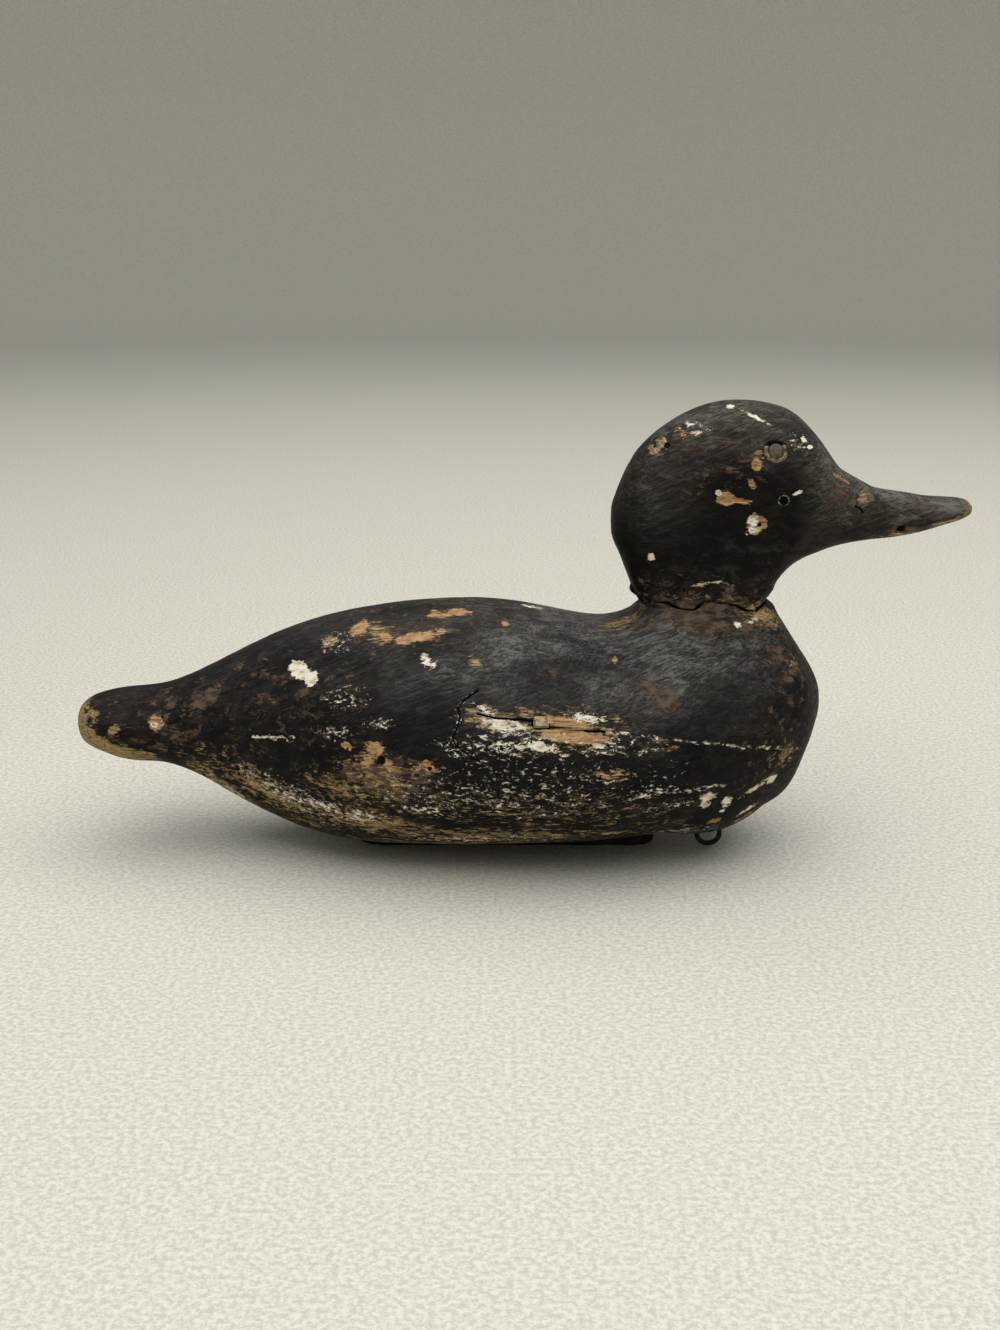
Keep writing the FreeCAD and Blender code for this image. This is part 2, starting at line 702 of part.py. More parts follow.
def main():
    """Build every sub-part, test it and write it."""
    fill_sheet()
    block, head, block_lines, head_lines, seated = build_blocks()
    pieces = [block, head]
    pieces += build_neck(block, head, head_lines)
    pieces += build_eyes(head)
    pieces += build_check_repair(block, block_lines)
    pieces += build_ballast(block, block_lines)
    pieces += build_line_fitting(block)
    pieces.append(build_neck_putty(seated))
    doc.recompute()

    for thing in doc.Objects:
        if {"Invalid", "Error"} & set(thing.State):
            raise RuntimeError("%s failed: %s" % (thing.Label, thing.State))
    for piece in pieces:
        if piece.Shape.isNull() or not piece.Shape.isValid():
            raise RuntimeError("%s has no valid shape" % piece.Label)

    os.makedirs("parts", exist_ok=True)
    for piece in pieces:
        piece.Shape.exportStep("parts/%s.step" % piece.Label)
        print("%-16s %9.1f mm3, %d solid" % (piece.Label, piece.Shape.Volume,
                                             len(piece.Shape.Solids)))


main()
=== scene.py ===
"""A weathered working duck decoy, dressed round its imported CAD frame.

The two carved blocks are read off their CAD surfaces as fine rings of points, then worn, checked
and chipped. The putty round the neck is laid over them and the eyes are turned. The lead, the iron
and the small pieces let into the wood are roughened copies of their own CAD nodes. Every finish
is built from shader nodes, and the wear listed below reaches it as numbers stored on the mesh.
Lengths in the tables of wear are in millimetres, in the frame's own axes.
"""

import logging
import math
import random
from dataclasses import dataclass, replace
from enum import Enum
from typing import Callable, Protocol, Sequence

import bmesh
import bpy
import numpy as np
from mathutils import Matrix, Vector, noise
from mathutils.bvhtree import BVHTree


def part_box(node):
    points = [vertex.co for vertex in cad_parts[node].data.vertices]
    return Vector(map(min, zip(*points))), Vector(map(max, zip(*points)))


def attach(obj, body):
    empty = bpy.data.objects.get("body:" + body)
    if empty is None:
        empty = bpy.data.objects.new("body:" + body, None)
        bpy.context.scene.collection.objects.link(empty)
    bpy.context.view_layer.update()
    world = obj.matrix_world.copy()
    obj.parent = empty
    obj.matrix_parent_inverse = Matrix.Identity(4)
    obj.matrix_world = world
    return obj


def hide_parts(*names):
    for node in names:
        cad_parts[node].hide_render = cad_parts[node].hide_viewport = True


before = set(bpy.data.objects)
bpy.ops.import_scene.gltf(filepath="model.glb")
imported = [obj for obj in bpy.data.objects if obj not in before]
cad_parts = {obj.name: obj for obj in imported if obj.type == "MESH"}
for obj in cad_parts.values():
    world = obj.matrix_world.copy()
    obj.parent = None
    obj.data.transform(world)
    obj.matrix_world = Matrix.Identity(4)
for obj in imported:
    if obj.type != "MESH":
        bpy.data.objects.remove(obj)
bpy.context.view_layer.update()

LOG = logging.getLogger("decoy")
MM = 0.001
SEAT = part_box("head_block")[0].z / MM  # where the head and the body meet, in millimetres
NEARBY = 8.0  # no check reaches further than this, in millimetres
FAR_AWAY = 1e6  # stands for out of reach
SHORTEST = 1e-9  # keeps a stretch without length from dividing by nothing

Point = tuple[float, float, float]
Colour = tuple[float, float, float]
SurfaceRule = Callable[[np.ndarray, np.ndarray], np.ndarray]  # from points and outward directions


# ------------------------------------------------------------------ colours and shader nodes

def paint(red: int, green: int, blue: int) -> Colour:
    """Linear colour of a screen colour.

    Args:
        red: Red, 0 to 255.
        green: Green, 0 to 255.
        blue: Blue, 0 to 255.

    Returns:
        The three channels in linear light.
    """
    def linear(channel: int) -> float:
        """One channel in linear light."""
        share = channel / 255.0
        return share / 12.92 if share <= 0.04045 else ((share + 0.055) / 1.055) ** 2.4
    return linear(red), linear(green), linear(blue)


class Sum(Enum):
    """A step of arithmetic between two numbers."""

    ADD = "ADD"
    LESS = "SUBTRACT"
    TIMES = "MULTIPLY"
    LARGER = "MAXIMUM"


class Recipe:
    """Lays out the shader nodes of one finish, one call for each step."""

    COLOUR_INPUTS = (0, 6, 7)  # a mix node's share and its two colours
    COLOUR_OUTPUT = 2
    COAT_ROUGHNESS = 0.25

    def __init__(self, name: str) -> None:
        """Start an empty material.

        Args:
            name: The material's name.
        """
        self.material = bpy.data.materials.new(name)
        self.material.use_nodes = True
        self.tree = self.material.node_tree
        self.tree.nodes.clear()
        self.place = self.tree.nodes.new("ShaderNodeTexCoord").outputs["Object"]

    def _feed(self, socket: bpy.types.NodeSocket, value: object) -> None:
        """Link a socket to another, or set it to a plain value.

        Args:
            socket: The socket to feed.
            value: A socket to link it to, a colour or a number.
        """
        if isinstance(value, bpy.types.NodeSocket):
            self.tree.links.new(value, socket)
        elif isinstance(value, tuple) and len(value) == 3 and socket.type == "RGBA":
            socket.default_value = (*value, 1.0)
        else:
            socket.default_value = value

    def stretch(self, size_mm: Point, turn: Point = (0.0, 0.0, 0.0),
                shift: Point = (0.0, 0.0, 0.0)) -> bpy.types.NodeSocket:
        """Object coordinates counted in cells of a given size.

        Args:
            size_mm: The cell's length along each axis.
            turn: Turn of the cells about each axis, in degrees.
            shift: Move, in cells.

        Returns:
            The stretched coordinates.
        """
        turned = self.tree.nodes.new("ShaderNodeMapping")
        self._feed(turned.inputs["Vector"], self.place)
        turned.inputs["Rotation"].default_value = tuple(math.radians(a) for a in turn)
        scaled = self.tree.nodes.new("ShaderNodeMapping")
        self._feed(scaled.inputs["Vector"], turned.outputs["Vector"])
        scaled.inputs["Scale"].default_value = tuple(1.0 / (s * MM) for s in size_mm)
        scaled.inputs["Location"].default_value = shift
        return scaled.outputs["Vector"]

    def grain(self, size_mm: Point, detail: float = 4.0, rough: float = 0.55,
              turn: Point = (0.0, 0.0, 0.0), shift: float = 0.0,
              twist: float = 0.0) -> bpy.types.NodeSocket:
        """Cloudy noise, 0 to 1, about half on average.

        Args:
            size_mm: Size of one cloud along each axis.
            detail: Number of finer layers.
            rough: Strength of each finer layer.
            turn: Turn of the pattern about each axis, in degrees.
            shift: Move along every axis, in clouds, so that two patterns differ.
            twist: How far the clouds are pulled out of shape.

        Returns:
            The noise.
        """
        node = self.tree.nodes.new("ShaderNodeTexNoise")
        self._feed(node.inputs["Vector"], self.stretch(size_mm, turn, (shift, shift, shift)))
        node.inputs["Scale"].default_value = 1.0
        node.inputs["Detail"].default_value = detail
        node.inputs["Roughness"].default_value = rough
        node.inputs["Distortion"].default_value = twist
        return node.outputs[0]

    def cells(self, size_mm: Point, shift: float = 0.0,
              wander: float = 1.0) -> bpy.types.NodeSocket:
        """Distance to the nearest of many scattered points, 0 at a point.

        Args:
            size_mm: Spacing of the points along each axis.
            shift: Move along every axis, in cells.
            wander: How irregular the scatter is.

        Returns:
            The distance, in cells.
        """
        node = self.tree.nodes.new("ShaderNodeTexVoronoi")
        self._feed(node.inputs["Vector"], self.stretch(size_mm, shift=(shift, shift, shift)))
        node.inputs["Scale"].default_value = 1.0
        node.inputs["Randomness"].default_value = wander
        return node.outputs["Distance"]

    def stored(self, name: str) -> bpy.types.NodeSocket:
        """A number stored on the mesh, read back.

        Args:
            name: The name it is stored under.

        Returns:
            The number.
        """
        node = self.tree.nodes.new("ShaderNodeAttribute")
        node.attribute_name = name
        return node.outputs["Fac"]

    def _work(self, step: Sum, first: object, second: object) -> bpy.types.NodeSocket:
        """One step of arithmetic.

        Args:
            step: Which step.
            first: A socket or a number.
            second: A socket or a number.

        Returns:
            The result.
        """
        node = self.tree.nodes.new("ShaderNodeMath")
        node.operation = step.value
        self._feed(node.inputs[0], first)
        self._feed(node.inputs[1], second)
        return node.outputs[0]

    def add(self, first: object, second: object) -> bpy.types.NodeSocket:
        """One value with another added to it."""
        return self._work(Sum.ADD, first, second)

    def less(self, first: object, second: object) -> bpy.types.NodeSocket:
        """One value with another taken from it."""
        return self._work(Sum.LESS, first, second)

    def times(self, first: object, second: object) -> bpy.types.NodeSocket:
        """One value multiplied by another."""
        return self._work(Sum.TIMES, first, second)

    def larger(self, first: object, second: object) -> bpy.types.NodeSocket:
        """The larger of two values."""
        return self._work(Sum.LARGER, first, second)

    def ramp(self, value: object, low: float, high: float, start: float = 0.0,
             end: float = 1.0) -> bpy.types.NodeSocket:
        """A smooth rise from start to end as a value goes from low to high.

        Args:
            value: The socket to read.
            low: Where the rise begins.
            high: Where the rise ends; below low for a fall.
            start: The result below the rise.
            end: The result above it.

        Returns:
            The eased value.
        """
        node = self.tree.nodes.new("ShaderNodeMapRange")
        node.interpolation_type = "SMOOTHSTEP"
        for socket, number in zip(node.inputs, (value, low, high, start, end)):
            self._feed(socket, number)
        return node.outputs[0]

    def blend(self, share: object, under: object, over: object) -> bpy.types.NodeSocket:
        """One colour laid over another.

        Args:
            share: How much of the upper one shows.
            under: The lower colour.
            over: The upper colour.

        Returns:
            The colour that results.
        """
        node = self.tree.nodes.new("ShaderNodeMix")
        node.data_type = "RGBA"
        factor, lower, upper = (node.inputs[number] for number in self.COLOUR_INPUTS)
        self._feed(factor, share)
        self._feed(lower, under)
        self._feed(upper, over)
        return node.outputs[self.COLOUR_OUTPUT]

    def surface(self, colour: object, rough: object, relief: object | None = None,
                depth_mm: float = 0.1, metal: float = 0.0, gloss: float = 0.5,
                coat: float = 0.0) -> bpy.types.Material:
        """Close the recipe with its shader.

        Args:
            colour: Base colour.
            rough: Roughness.
            relief: Height of the fine relief, 0 to 1, or None for none.
            depth_mm: The height that 1 stands for.
            metal: Metallic share.
            gloss: Specular level.
            coat: Weight of a clear coat.

        Returns:
            The finished material.
        """
        shader = self.tree.nodes.new("ShaderNodeBsdfPrincipled")
        self._feed(shader.inputs["Base Color"], colour)
        self._feed(shader.inputs["Roughness"], rough)
        shader.inputs["Metallic"].default_value = metal
        shader.inputs["Specular IOR Level"].default_value = gloss
        shader.inputs["Coat Weight"].default_value = coat
        shader.inputs["Coat Roughness"].default_value = self.COAT_ROUGHNESS
        if relief is not None:
            bump = self.tree.nodes.new("ShaderNodeBump")
            bump.inputs["Strength"].default_value = 1.0
            bump.inputs["Distance"].default_value = depth_mm * MM
            self._feed(bump.inputs["Height"], relief)
            self._feed(shader.inputs["Normal"], bump.outputs["Normal"])
        out = self.tree.nodes.new("ShaderNodeOutputMaterial")
        self.tree.links.new(shader.outputs[0], out.inputs["Surface"])
        return self.material


# ------------------------------------------------------------------ what wear is made of

class Under(Enum):
    """What comes to light where the black top coat has gone."""

    BROWN = "show_brown"
    CREAM = "show_cream"
    OCHRE = "show_ochre"
    TAN = "show_tan"


@dataclass(frozen=True)
class Patch:
    """A place where the top coat is thin or gone.

    Fields:
        coat: What comes to light.
        at: The middle of the patch.
        reach: Half its length along each axis.
        strength: 1 bares the middle; under about a half, only scattered flecks come through.
        tilt: Turn of its long axis in the side view, in degrees, rising towards the bill.
        crisp: How suddenly it ends; 0.5 fades out in flecks, 2 ends at a clean edge.
    """

    coat: Under
    at: Point
    reach: Point
    strength: float = 1.0
    tilt: float = 0.0
    crisp: float = 0.5

    MOST = 1.5  # the weight in the middle of a crisp patch

    def weight(self, points: np.ndarray) -> np.ndarray:
        """How far each point is inside the patch.

        Args:
            points: Points in millimetres, one in each row.

        Returns:
            The strength at each point, half of the full strength at the reach.
        """
        away = points - np.array(self.at)
        turn = math.radians(self.tilt)
        along = away[:, 0] * math.cos(turn) + away[:, 2] * math.sin(turn)
        across = away[:, 2] * math.cos(turn) - away[:, 0] * math.sin(turn)
        out = np.stack([along, away[:, 1], across], 1) / np.array(self.reach)
        inside = 0.5 + self.crisp * (1.0 - np.sqrt((out ** 2).sum(1)))
        return self.strength * np.clip(inside, 0.0, self.MOST)


@dataclass(frozen=True)
class Check:
    """A drying check: a crack that follows a line over the surface.

    Fields:
        line: Its corners.
        width: Half its width at the mouth.
        depth: How deep it is cut into the mesh.
        pale_lips: Strength of the bare lips beside it, from 0 to 1.
    """

    line: tuple[Point, ...]
    width: float
    depth: float
    pale_lips: float = 0.0

    STEP = 1.6  # millimetres
    WANDER = 0.45  # how far it strays, in millimetres
    WANDER_PACE = 0.35  # turns in each millimetre

    def laid_on(self, tree: BVHTree) -> "Check":
        """The same check, laid on a surface in short steps that wander a little.

        Args:
            tree: The surface.
        """
        spots = []
        for start, end in zip(self.line, self.line[1:]):
            first, last = Vector(start), Vector(end)
            count = max(1, round((last - first).length / self.STEP))
            for step in range(count + (end == self.line[-1])):
                spot = first.lerp(last, step / count)
                spot.z += self.WANDER * noise.noise(spot * self.WANDER_PACE)
                hit = tree.find_nearest(spot * MM)[0]
                spots.append(tuple(hit / MM))
        return replace(self, line=tuple(spots))

    def distance(self, points: np.ndarray) -> np.ndarray:
        """Args:
            points: Points in millimetres, one in each row.

        Returns:
            The distance to the nearest stretch of the line.
        """
        return distance_to_line(points, self.line)


@dataclass(frozen=True)
class Dent:
    """A round hollow in the surface, or a swelling if its depth is negative.

    Fields:
        at: Its middle.
        radius: Its radius.
        depth: Its depth.
        sharp: How upright its wall is; 2 is a bowl and 8 a drilled hole.
        dark: Dirt and shadow in it, from 0 to 1; a dark dent is also given finer faces.
        rim: Strength of a bare rim round it, from 0 to 1.
    """

    at: Point
    radius: float
    depth: float
    sharp: float = 2.0
    dark: float = 0.0
    rim: float = 0.0

    def share(self, points: np.ndarray) -> np.ndarray:
        """Distance of each point from the middle, in radii."""
        return np.linalg.norm(points - np.array(self.at), axis=1) / self.radius

    def height(self, points: np.ndarray) -> np.ndarray:
        """The dent's share of the relief at each point, in millimetres."""
        return -self.depth * np.clip(1.0 - self.share(points) ** self.sharp, 0.0, 1.0)


def distance_to_line(points: np.ndarray, line: Sequence[Point]) -> np.ndarray:
    """Distance from points to a line of straight stretches.

    Args:
        points: Points, one in each row.
        line: The line's corners.

    Returns:
        The distance of each point.
    """
    corners = np.array(line, float)
    best = np.full(len(points), FAR_AWAY)
    near = ((points > corners.min(0) - NEARBY) & (points < corners.max(0) + NEARBY)).all(1)
    close = points[near]
    found = best[near]
    for first, last in zip(corners, corners[1:]):
        way = last - first
        share = np.clip(((close - first) @ way) / max(way @ way, SHORTEST), 0.0, 1.0)
        found = np.minimum(found, np.linalg.norm(close - first - share[:, None] * way, axis=1))
    best[near] = found
    return best


SEED_SHIFT = (17.3, 5.1, 9.7)  # how far apart two seeds' clouds lie, in clouds


def clouds(points: np.ndarray, size: Point, seed: int, layers: int = 1) -> np.ndarray:
    """Smooth noise over points.

    Args:
        points: Points in millimetres, one in each row.
        size: Size of a cloud along each axis, in millimetres.
        seed: Which noise.
        layers: Number of layers, each half the size of the one before.

    Returns:
        The noise, about -1 to 1.
    """
    shift = np.array(SEED_SHIFT) * (seed + 1)
    places = points / np.array(size) + shift
    if layers == 1:
        return np.array([noise.noise(Vector(p)) for p in places.tolist()])
    return np.array([noise.fractal(Vector(p), 1.0, 2.0, layers) for p in places.tolist()])


# ------------------------------------------------------------------ mesh tools

def vertex_array(mesh: bpy.types.Mesh) -> np.ndarray:
    """The mesh's points in millimetres.

    Args:
        mesh: The mesh to read.

    Returns:
        The points, one in each row.
    """
    flat = np.zeros(len(mesh.vertices) * 3, np.float32)
    mesh.vertices.foreach_get("co", flat)
    return flat.reshape(-1, 3).astype(float) / MM


def normal_array(mesh: bpy.types.Mesh) -> np.ndarray:
    """The outward direction at each of the mesh's points.

    Args:
        mesh: The mesh to read.

    Returns:
        The directions, one in each row.
    """
    flat = np.zeros(len(mesh.vertices) * 3, np.float32)
    mesh.vertices.foreach_get("normal", flat)
    return flat.reshape(-1, 3).astype(float)


def move_vertices(mesh: bpy.types.Mesh, points: np.ndarray) -> None:
    """Put the mesh's points at new places, given in millimetres."""
    mesh.vertices.foreach_set("co", (points * MM).astype(np.float32).ravel())
    mesh.update()


def store(mesh: bpy.types.Mesh, name: str, values: np.ndarray) -> None:
    """Store one number on each of the mesh's points."""
    layer = mesh.attributes.new(name, "FLOAT", "POINT")
    layer.data.foreach_set("value", values.astype(np.float32))


def add_piece(name: str, mesh: bpy.types.Mesh, body: str,
              stands_for: Sequence[str]) -> bpy.types.Object:
    """Put a finished mesh in the scene.

    Args:
        name: The piece's name.
        mesh: Its mesh, in the row frame.
        body: The CAD body it moves with.
        stands_for: The CAD nodes it replaces.

    Returns:
        The new object.
    """
    piece = bpy.data.objects.new(name, mesh)
    bpy.context.scene.collection.objects.link(piece)
    mesh.shade_smooth()
    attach(piece, body)
    if stands_for:
        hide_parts(*stands_for)
    LOG.info("%s: %d faces, rides on %s", name, len(mesh.polygons), body)
    return piece


def cad_mesh(node: str) -> bpy.types.Mesh:
    """A copy of a CAD node's mesh, in the row frame.

    Args:
        node: The CAD node's name.

    Returns:
        The new mesh.
    """
    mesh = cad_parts[node].data.copy()
    mesh.transform(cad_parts[node].matrix_world)
    return mesh


def solid_mesh(name: str, verts: Sequence[Sequence[float]],
               faces: Sequence[Sequence[int]]) -> bpy.types.Mesh:
    """A closed mesh whose faces all look outward.

    Args:
        name: Its name.
        verts: Its points, in metres.
        faces: Its faces, as numbers of points.

    Returns:
        The new mesh.
    """
    mesh = bpy.data.meshes.new(name)
    mesh.from_pydata(verts, [], faces)
    mesh.update()
    shape = bmesh.new()
    shape.from_mesh(mesh)
    bmesh.ops.recalc_face_normals(shape, faces=shape.faces)
    shape.to_mesh(mesh)
    shape.free()
    return mesh


def no_relief(points: np.ndarray, _: np.ndarray) -> np.ndarray:
    """No height at any point."""
    return np.zeros(len(points))


def roughened_copy(node: str, voxel: float, relief: SurfaceRule,
                   rounding: int = 2) -> bpy.types.Mesh:
    """A finer copy of a CAD node with its own relief.

    Args:
        node: The CAD node to copy.
        voxel: Size of the copy's faces, in millimetres.
        relief: Gives the height to add from points and outward directions.
        rounding: Passes of smoothing.

    Returns:
        The new mesh.
    """
    copy = bpy.data.objects.new(node + "_copy", cad_mesh(node))
    bpy.context.scene.collection.objects.link(copy)
    remesh = copy.modifiers.new("finer", "REMESH")
    remesh.mode = "VOXEL"
    remesh.voxel_size = voxel * MM
    smooth = copy.modifiers.new("rounder", "SMOOTH")
    smooth.factor = 0.5
    smooth.iterations = rounding
    graph = bpy.context.evaluated_depsgraph_get()
    mesh = bpy.data.meshes.new_from_object(copy.evaluated_get(graph))
    old = copy.data
    bpy.data.objects.remove(copy)
    bpy.data.meshes.remove(old)
    mesh.materials.clear()
    points = vertex_array(mesh)
    outward = normal_array(mesh)
    move_vertices(mesh, points + outward * relief(points, outward)[:, None])
    return mesh


def lathe(profile: Sequence[tuple[float, float]], centre: Vector, axis: Vector, steps: int,
          wobble: Callable[[float, int], tuple[float, float]] | None = None) -> bpy.types.Mesh:
    """A turned mesh.

    Args:
        profile: Radius and height of each ring, in millimetres, from one end to the other. A
            radius of 0 at an end closes it, and otherwise the last ring joins the first.
        centre: Where height 0 is, in metres.
        axis: The way height is counted.
        steps: Points in each ring.
        wobble: Gives what to add to radius and height from the angle and the ring's number.

    Returns:
        The new mesh.
    """
    shape = bmesh.new()
    turn = Vector((0.0, 0.0, 1.0)).rotation_difference(axis).to_matrix().to_4x4()
    place = Matrix.Translation(centre) @ turn
    rings = []
    for number, (radius, height) in enumerate(profile):
        if radius == 0.0:
            rings.append([shape.verts.new(place @ Vector((0.0, 0.0, height * MM)))])
            continue
        ring = []
        for step in range(steps):
            angle = 2.0 * math.pi * step / steps
            wider, higher = wobble(angle, number) if wobble else (0.0, 0.0)
            spot = Vector(((radius + wider) * math.cos(angle),
                           (radius + wider) * math.sin(angle), height + higher)) * MM
            ring.append(shape.verts.new(place @ spot))
        rings.append(ring)
    closed = profile[0][0] != 0.0 and profile[-1][0] != 0.0
    pairs = list(zip(rings, rings[1:])) + ([(rings[-1], rings[0])] if closed else [])
    for low, high in pairs:
        for step in range(steps):
            corners = [low[step % len(low)], low[(step + 1) % len(low)],
                       high[(step + 1) % len(high)], high[step % len(high)]]
            shape.faces.new(list(dict.fromkeys(corners)))
    bmesh.ops.recalc_face_normals(shape, faces=shape.faces)
    mesh = bpy.data.meshes.new("turned")
    shape.to_mesh(mesh)
    shape.free()
    return mesh


# ------------------------------------------------------------------ reading a carved surface

@dataclass
class Hull:
    """The outer skin of a carved CAD block, read as rings of points from end to end.

    Fields:
        node: The CAD node to read.
        rings: Number of rings along X.
        around: Number of points in each ring.
        plugs: CAD nodes let into the block, whose pockets are filled over.
        seat: Height at which the block is cut flat, in millimetres.
        seat_above: Whether the cut face looks up.
    """

    node: str
    rings: int
    around: int
    plugs: Sequence[str]
    seat: float
    seat_above: bool

    CAP_RINGS = 5  # rings that close each end
    COARSE = 240  # stations of the first reading
    MEDIAN = 31  # stations that an odd reading is compared with
    FAR = 400.0  # where the lines start, clear of the block
    OFF_MIDDLE = 0.01  # keeps a line off the seam between two faces
    ODD_JUMP = 6.0  # a reading this far out has gone down a hole
    END_INSET = 0.05
    PLUG_MARGIN = 1.2
    SMALLEST_CAP = 0.02  # the innermost ring's share of the end ring
    FILL_PASSES = 260
    SMOOTH_PASSES = 10

    def _cast(self, tree: BVHTree, start: Point, way: Point) -> np.ndarray | None:
        """Where a line first meets the block, in millimetres."""
        hit = tree.ray_cast(Vector(start) * MM, Vector(way))[0]
        return None if hit is None else np.array(hit) / MM

    def _outline(self, tree: BVHTree, stations: np.ndarray) -> np.ndarray:
        """Middle height, half height and half width at each station.

        Args:
            tree: The block.
            stations: Places along X.

        Returns:
            One row for each station.
        """
        rows = []
        for x in stations:
            top = self._cast(tree, (x, self.OFF_MIDDLE, self.FAR), (0, 0, -1))
            low = self._cast(tree, (x, self.OFF_MIDDLE, -self.FAR), (0, 0, 1))
            middle = (top[2] + low[2]) / 2.0
            side = self._cast(tree, (x, -self.FAR, middle), (0, 1, 0))
            rows.append((middle, (top[2] - low[2]) / 2.0, abs(side[1])))
        rows = np.array(rows)
        reach = self.MEDIAN // 2
        padded = np.pad(rows, ((reach, reach), (0, 0)), mode="reflect")
        windows = np.lib.stride_tricks.sliding_window_view(padded, self.MEDIAN, axis=0)
        calm = np.median(windows, axis=2)
        odd = np.abs(rows - calm) > self.ODD_JUMP
        edge = reach + 2
        odd[:edge] = False
        odd[-edge:] = False
        return np.where(odd, calm, rows)

    def _stations(self, tree: BVHTree) -> tuple[np.ndarray, np.ndarray]:
        """Places along X, closer together where the block closes in.

        Args:
            tree: The block.

        Returns:
            The places, and the outline there with one row for each.
        """
        low, high = (corner.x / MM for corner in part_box(self.node))
        coarse = np.linspace(low + self.END_INSET, high - self.END_INSET, self.COARSE)
        outline = self._outline(tree, coarse)
        steps = np.diff(np.column_stack([coarse, outline[:, 1], outline[:, 2]]), axis=0)
        length = np.concatenate([[0.0], np.cumsum(np.linalg.norm(steps, axis=1))])
        even = np.linspace(0.0, length[-1], self.rings)
        stations = np.interp(even, length, coarse)
        columns = [np.interp(stations, coarse, outline[:, k]) for k in range(3)]
        return stations, np.column_stack(columns)

    def _in_plugs(self, points: np.ndarray) -> np.ndarray:
        """Which points lie in the pocket of a piece let into the block.

        Args:
            points: Rings of points.

        Returns:
            True for each point that lies in one.
        """
        inside = np.zeros(points.shape[:2], bool)
        for plug in self.plugs:
            low, high = (np.array(corner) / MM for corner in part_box(plug))
            past_low = points > low - self.PLUG_MARGIN
            inside |= (past_low & (points < high + self.PLUG_MARGIN)).all(2)
        return inside

    def read(self) -> np.ndarray:
        """Read the block, fill its pockets over and calm its skin.

        Returns:
            Points in millimetres, as rings by places round the ring by three.
        """
        tree = tree_of(cad_mesh(self.node))
        stations, outline = self._stations(tree)
        turns = np.linspace(0.0, 2.0 * math.pi, self.around, endpoint=False)
        points = np.zeros((self.rings, self.around, 3))
        for i, (x, (middle, tall, wide)) in enumerate(zip(stations, outline)):
            ways = np.column_stack([np.zeros(self.around), wide * np.sin(turns),
                                    tall * np.cos(turns)])
            ways /= np.linalg.norm(ways, axis=1)[:, None]
            for j, way in enumerate(ways):
                start = np.array((x, 0.0, middle)) + way * self.FAR
                hit = self._cast(tree, start, -way)
                points[i, j] = points[i, j - 1] if hit is None else hit
        level = np.minimum if self.seat_above else np.maximum
        points[..., 2] = level(points[..., 2], self.seat)
        points = self._cap(points)
        hole = self._in_plugs(points)
        hole[:self.CAP_RINGS + 1] = False
        hole[-self.CAP_RINGS - 1:] = False
        for _ in range(self.FILL_PASSES):
            points[hole] = self._neighbours(points)[hole]
        for _ in range(self.SMOOTH_PASSES):
            calm = self._neighbours(points)
            points[1:-1] += 0.5 * (calm - points)[1:-1]
        return points

    def _cap(self, points: np.ndarray) -> np.ndarray:
        """Close in the flat ends with rings that shrink to their middles.

        Args:
            points: Rings of points.

        Returns:
            The rings, with more at each end.
        """
        ends = []
        for ring in (points[0], points[-1]):
            middle = ring.mean(0)
            shares = np.linspace(self.SMALLEST_CAP, 1.0, self.CAP_RINGS + 1)[:-1]
            ends.append(np.array([middle + (ring - middle) * share for share in shares]))
        return np.concatenate([ends[0], points, ends[1][::-1]])

    @staticmethod
    def _neighbours(points: np.ndarray) -> np.ndarray:
        """The mean of each point's four neighbours."""
        along = np.concatenate([points[:1], points, points[-1:]])
        return (np.roll(points, 1, 1) + np.roll(points, -1, 1) + along[:-2] + along[2:]) / 4.0

    def mesh(self) -> bpy.types.Mesh:
        """The skin as a closed mesh of four-sided faces.

        Returns:
            The new mesh, in metres.
        """
        points = self.read()
        count, around = points.shape[:2]
        verts = (points.reshape(-1, 3) * MM).tolist()
        first = np.arange(count - 1)[:, None] * around + np.arange(around)[None]
        after = np.arange(count - 1)[:, None] * around + (np.arange(around)[None] + 1) % around
        quads = np.stack([first, after, after + around, first + around], 2).reshape(-1, 4)
        ends = [list(range(around))[::-1], list(range((count - 1) * around, count * around))]
        return solid_mesh(self.node + "_skin", verts, quads.tolist() + ends)


def tree_of(mesh: bpy.types.Mesh) -> BVHTree:
    """A mesh's faces, sorted for looking up.

    Args:
        mesh: The mesh.

    Returns:
        The sorted faces.
    """
    shape = bmesh.new()
    shape.from_mesh(mesh)
    tree = BVHTree.FromBMesh(shape)
    shape.free()
    return tree


def refine(mesh: bpy.types.Mesh, checks: Sequence[Check], dents: Sequence[Dent],
           reach: float) -> None:
    """Split the faces near checks and holes, so that narrow ones have points to turn on.

    Args:
        mesh: The mesh to change.
        checks: The checks to follow.
        dents: The dents, of which only the dark ones are followed.
        reach: How far from a check or a hole's edge faces are split, in millimetres.
    """
    points = vertex_array(mesh)
    near = np.zeros(len(points), bool)
    for check in checks:
        near |= check.distance(points) < reach
    for dent in dents:
        near |= (dent.dark > 0.0) & (dent.share(points) * dent.radius < dent.radius + reach)
    shape = bmesh.new()
    shape.from_mesh(mesh)
    shape.verts.ensure_lookup_table()
    edges = [e for e in shape.edges if near[e.verts[0].index] and near[e.verts[1].index]]
    bmesh.ops.subdivide_edges(shape, edges=edges, cuts=2, use_grid_fill=True)
    shape.to_mesh(mesh)
    shape.free()
    mesh.update()


# ------------------------------------------------------------------ finishes

class Finish(Protocol):
    """Anything that can make a material."""

    def build(self) -> bpy.types.Material:
        """Make the material."""


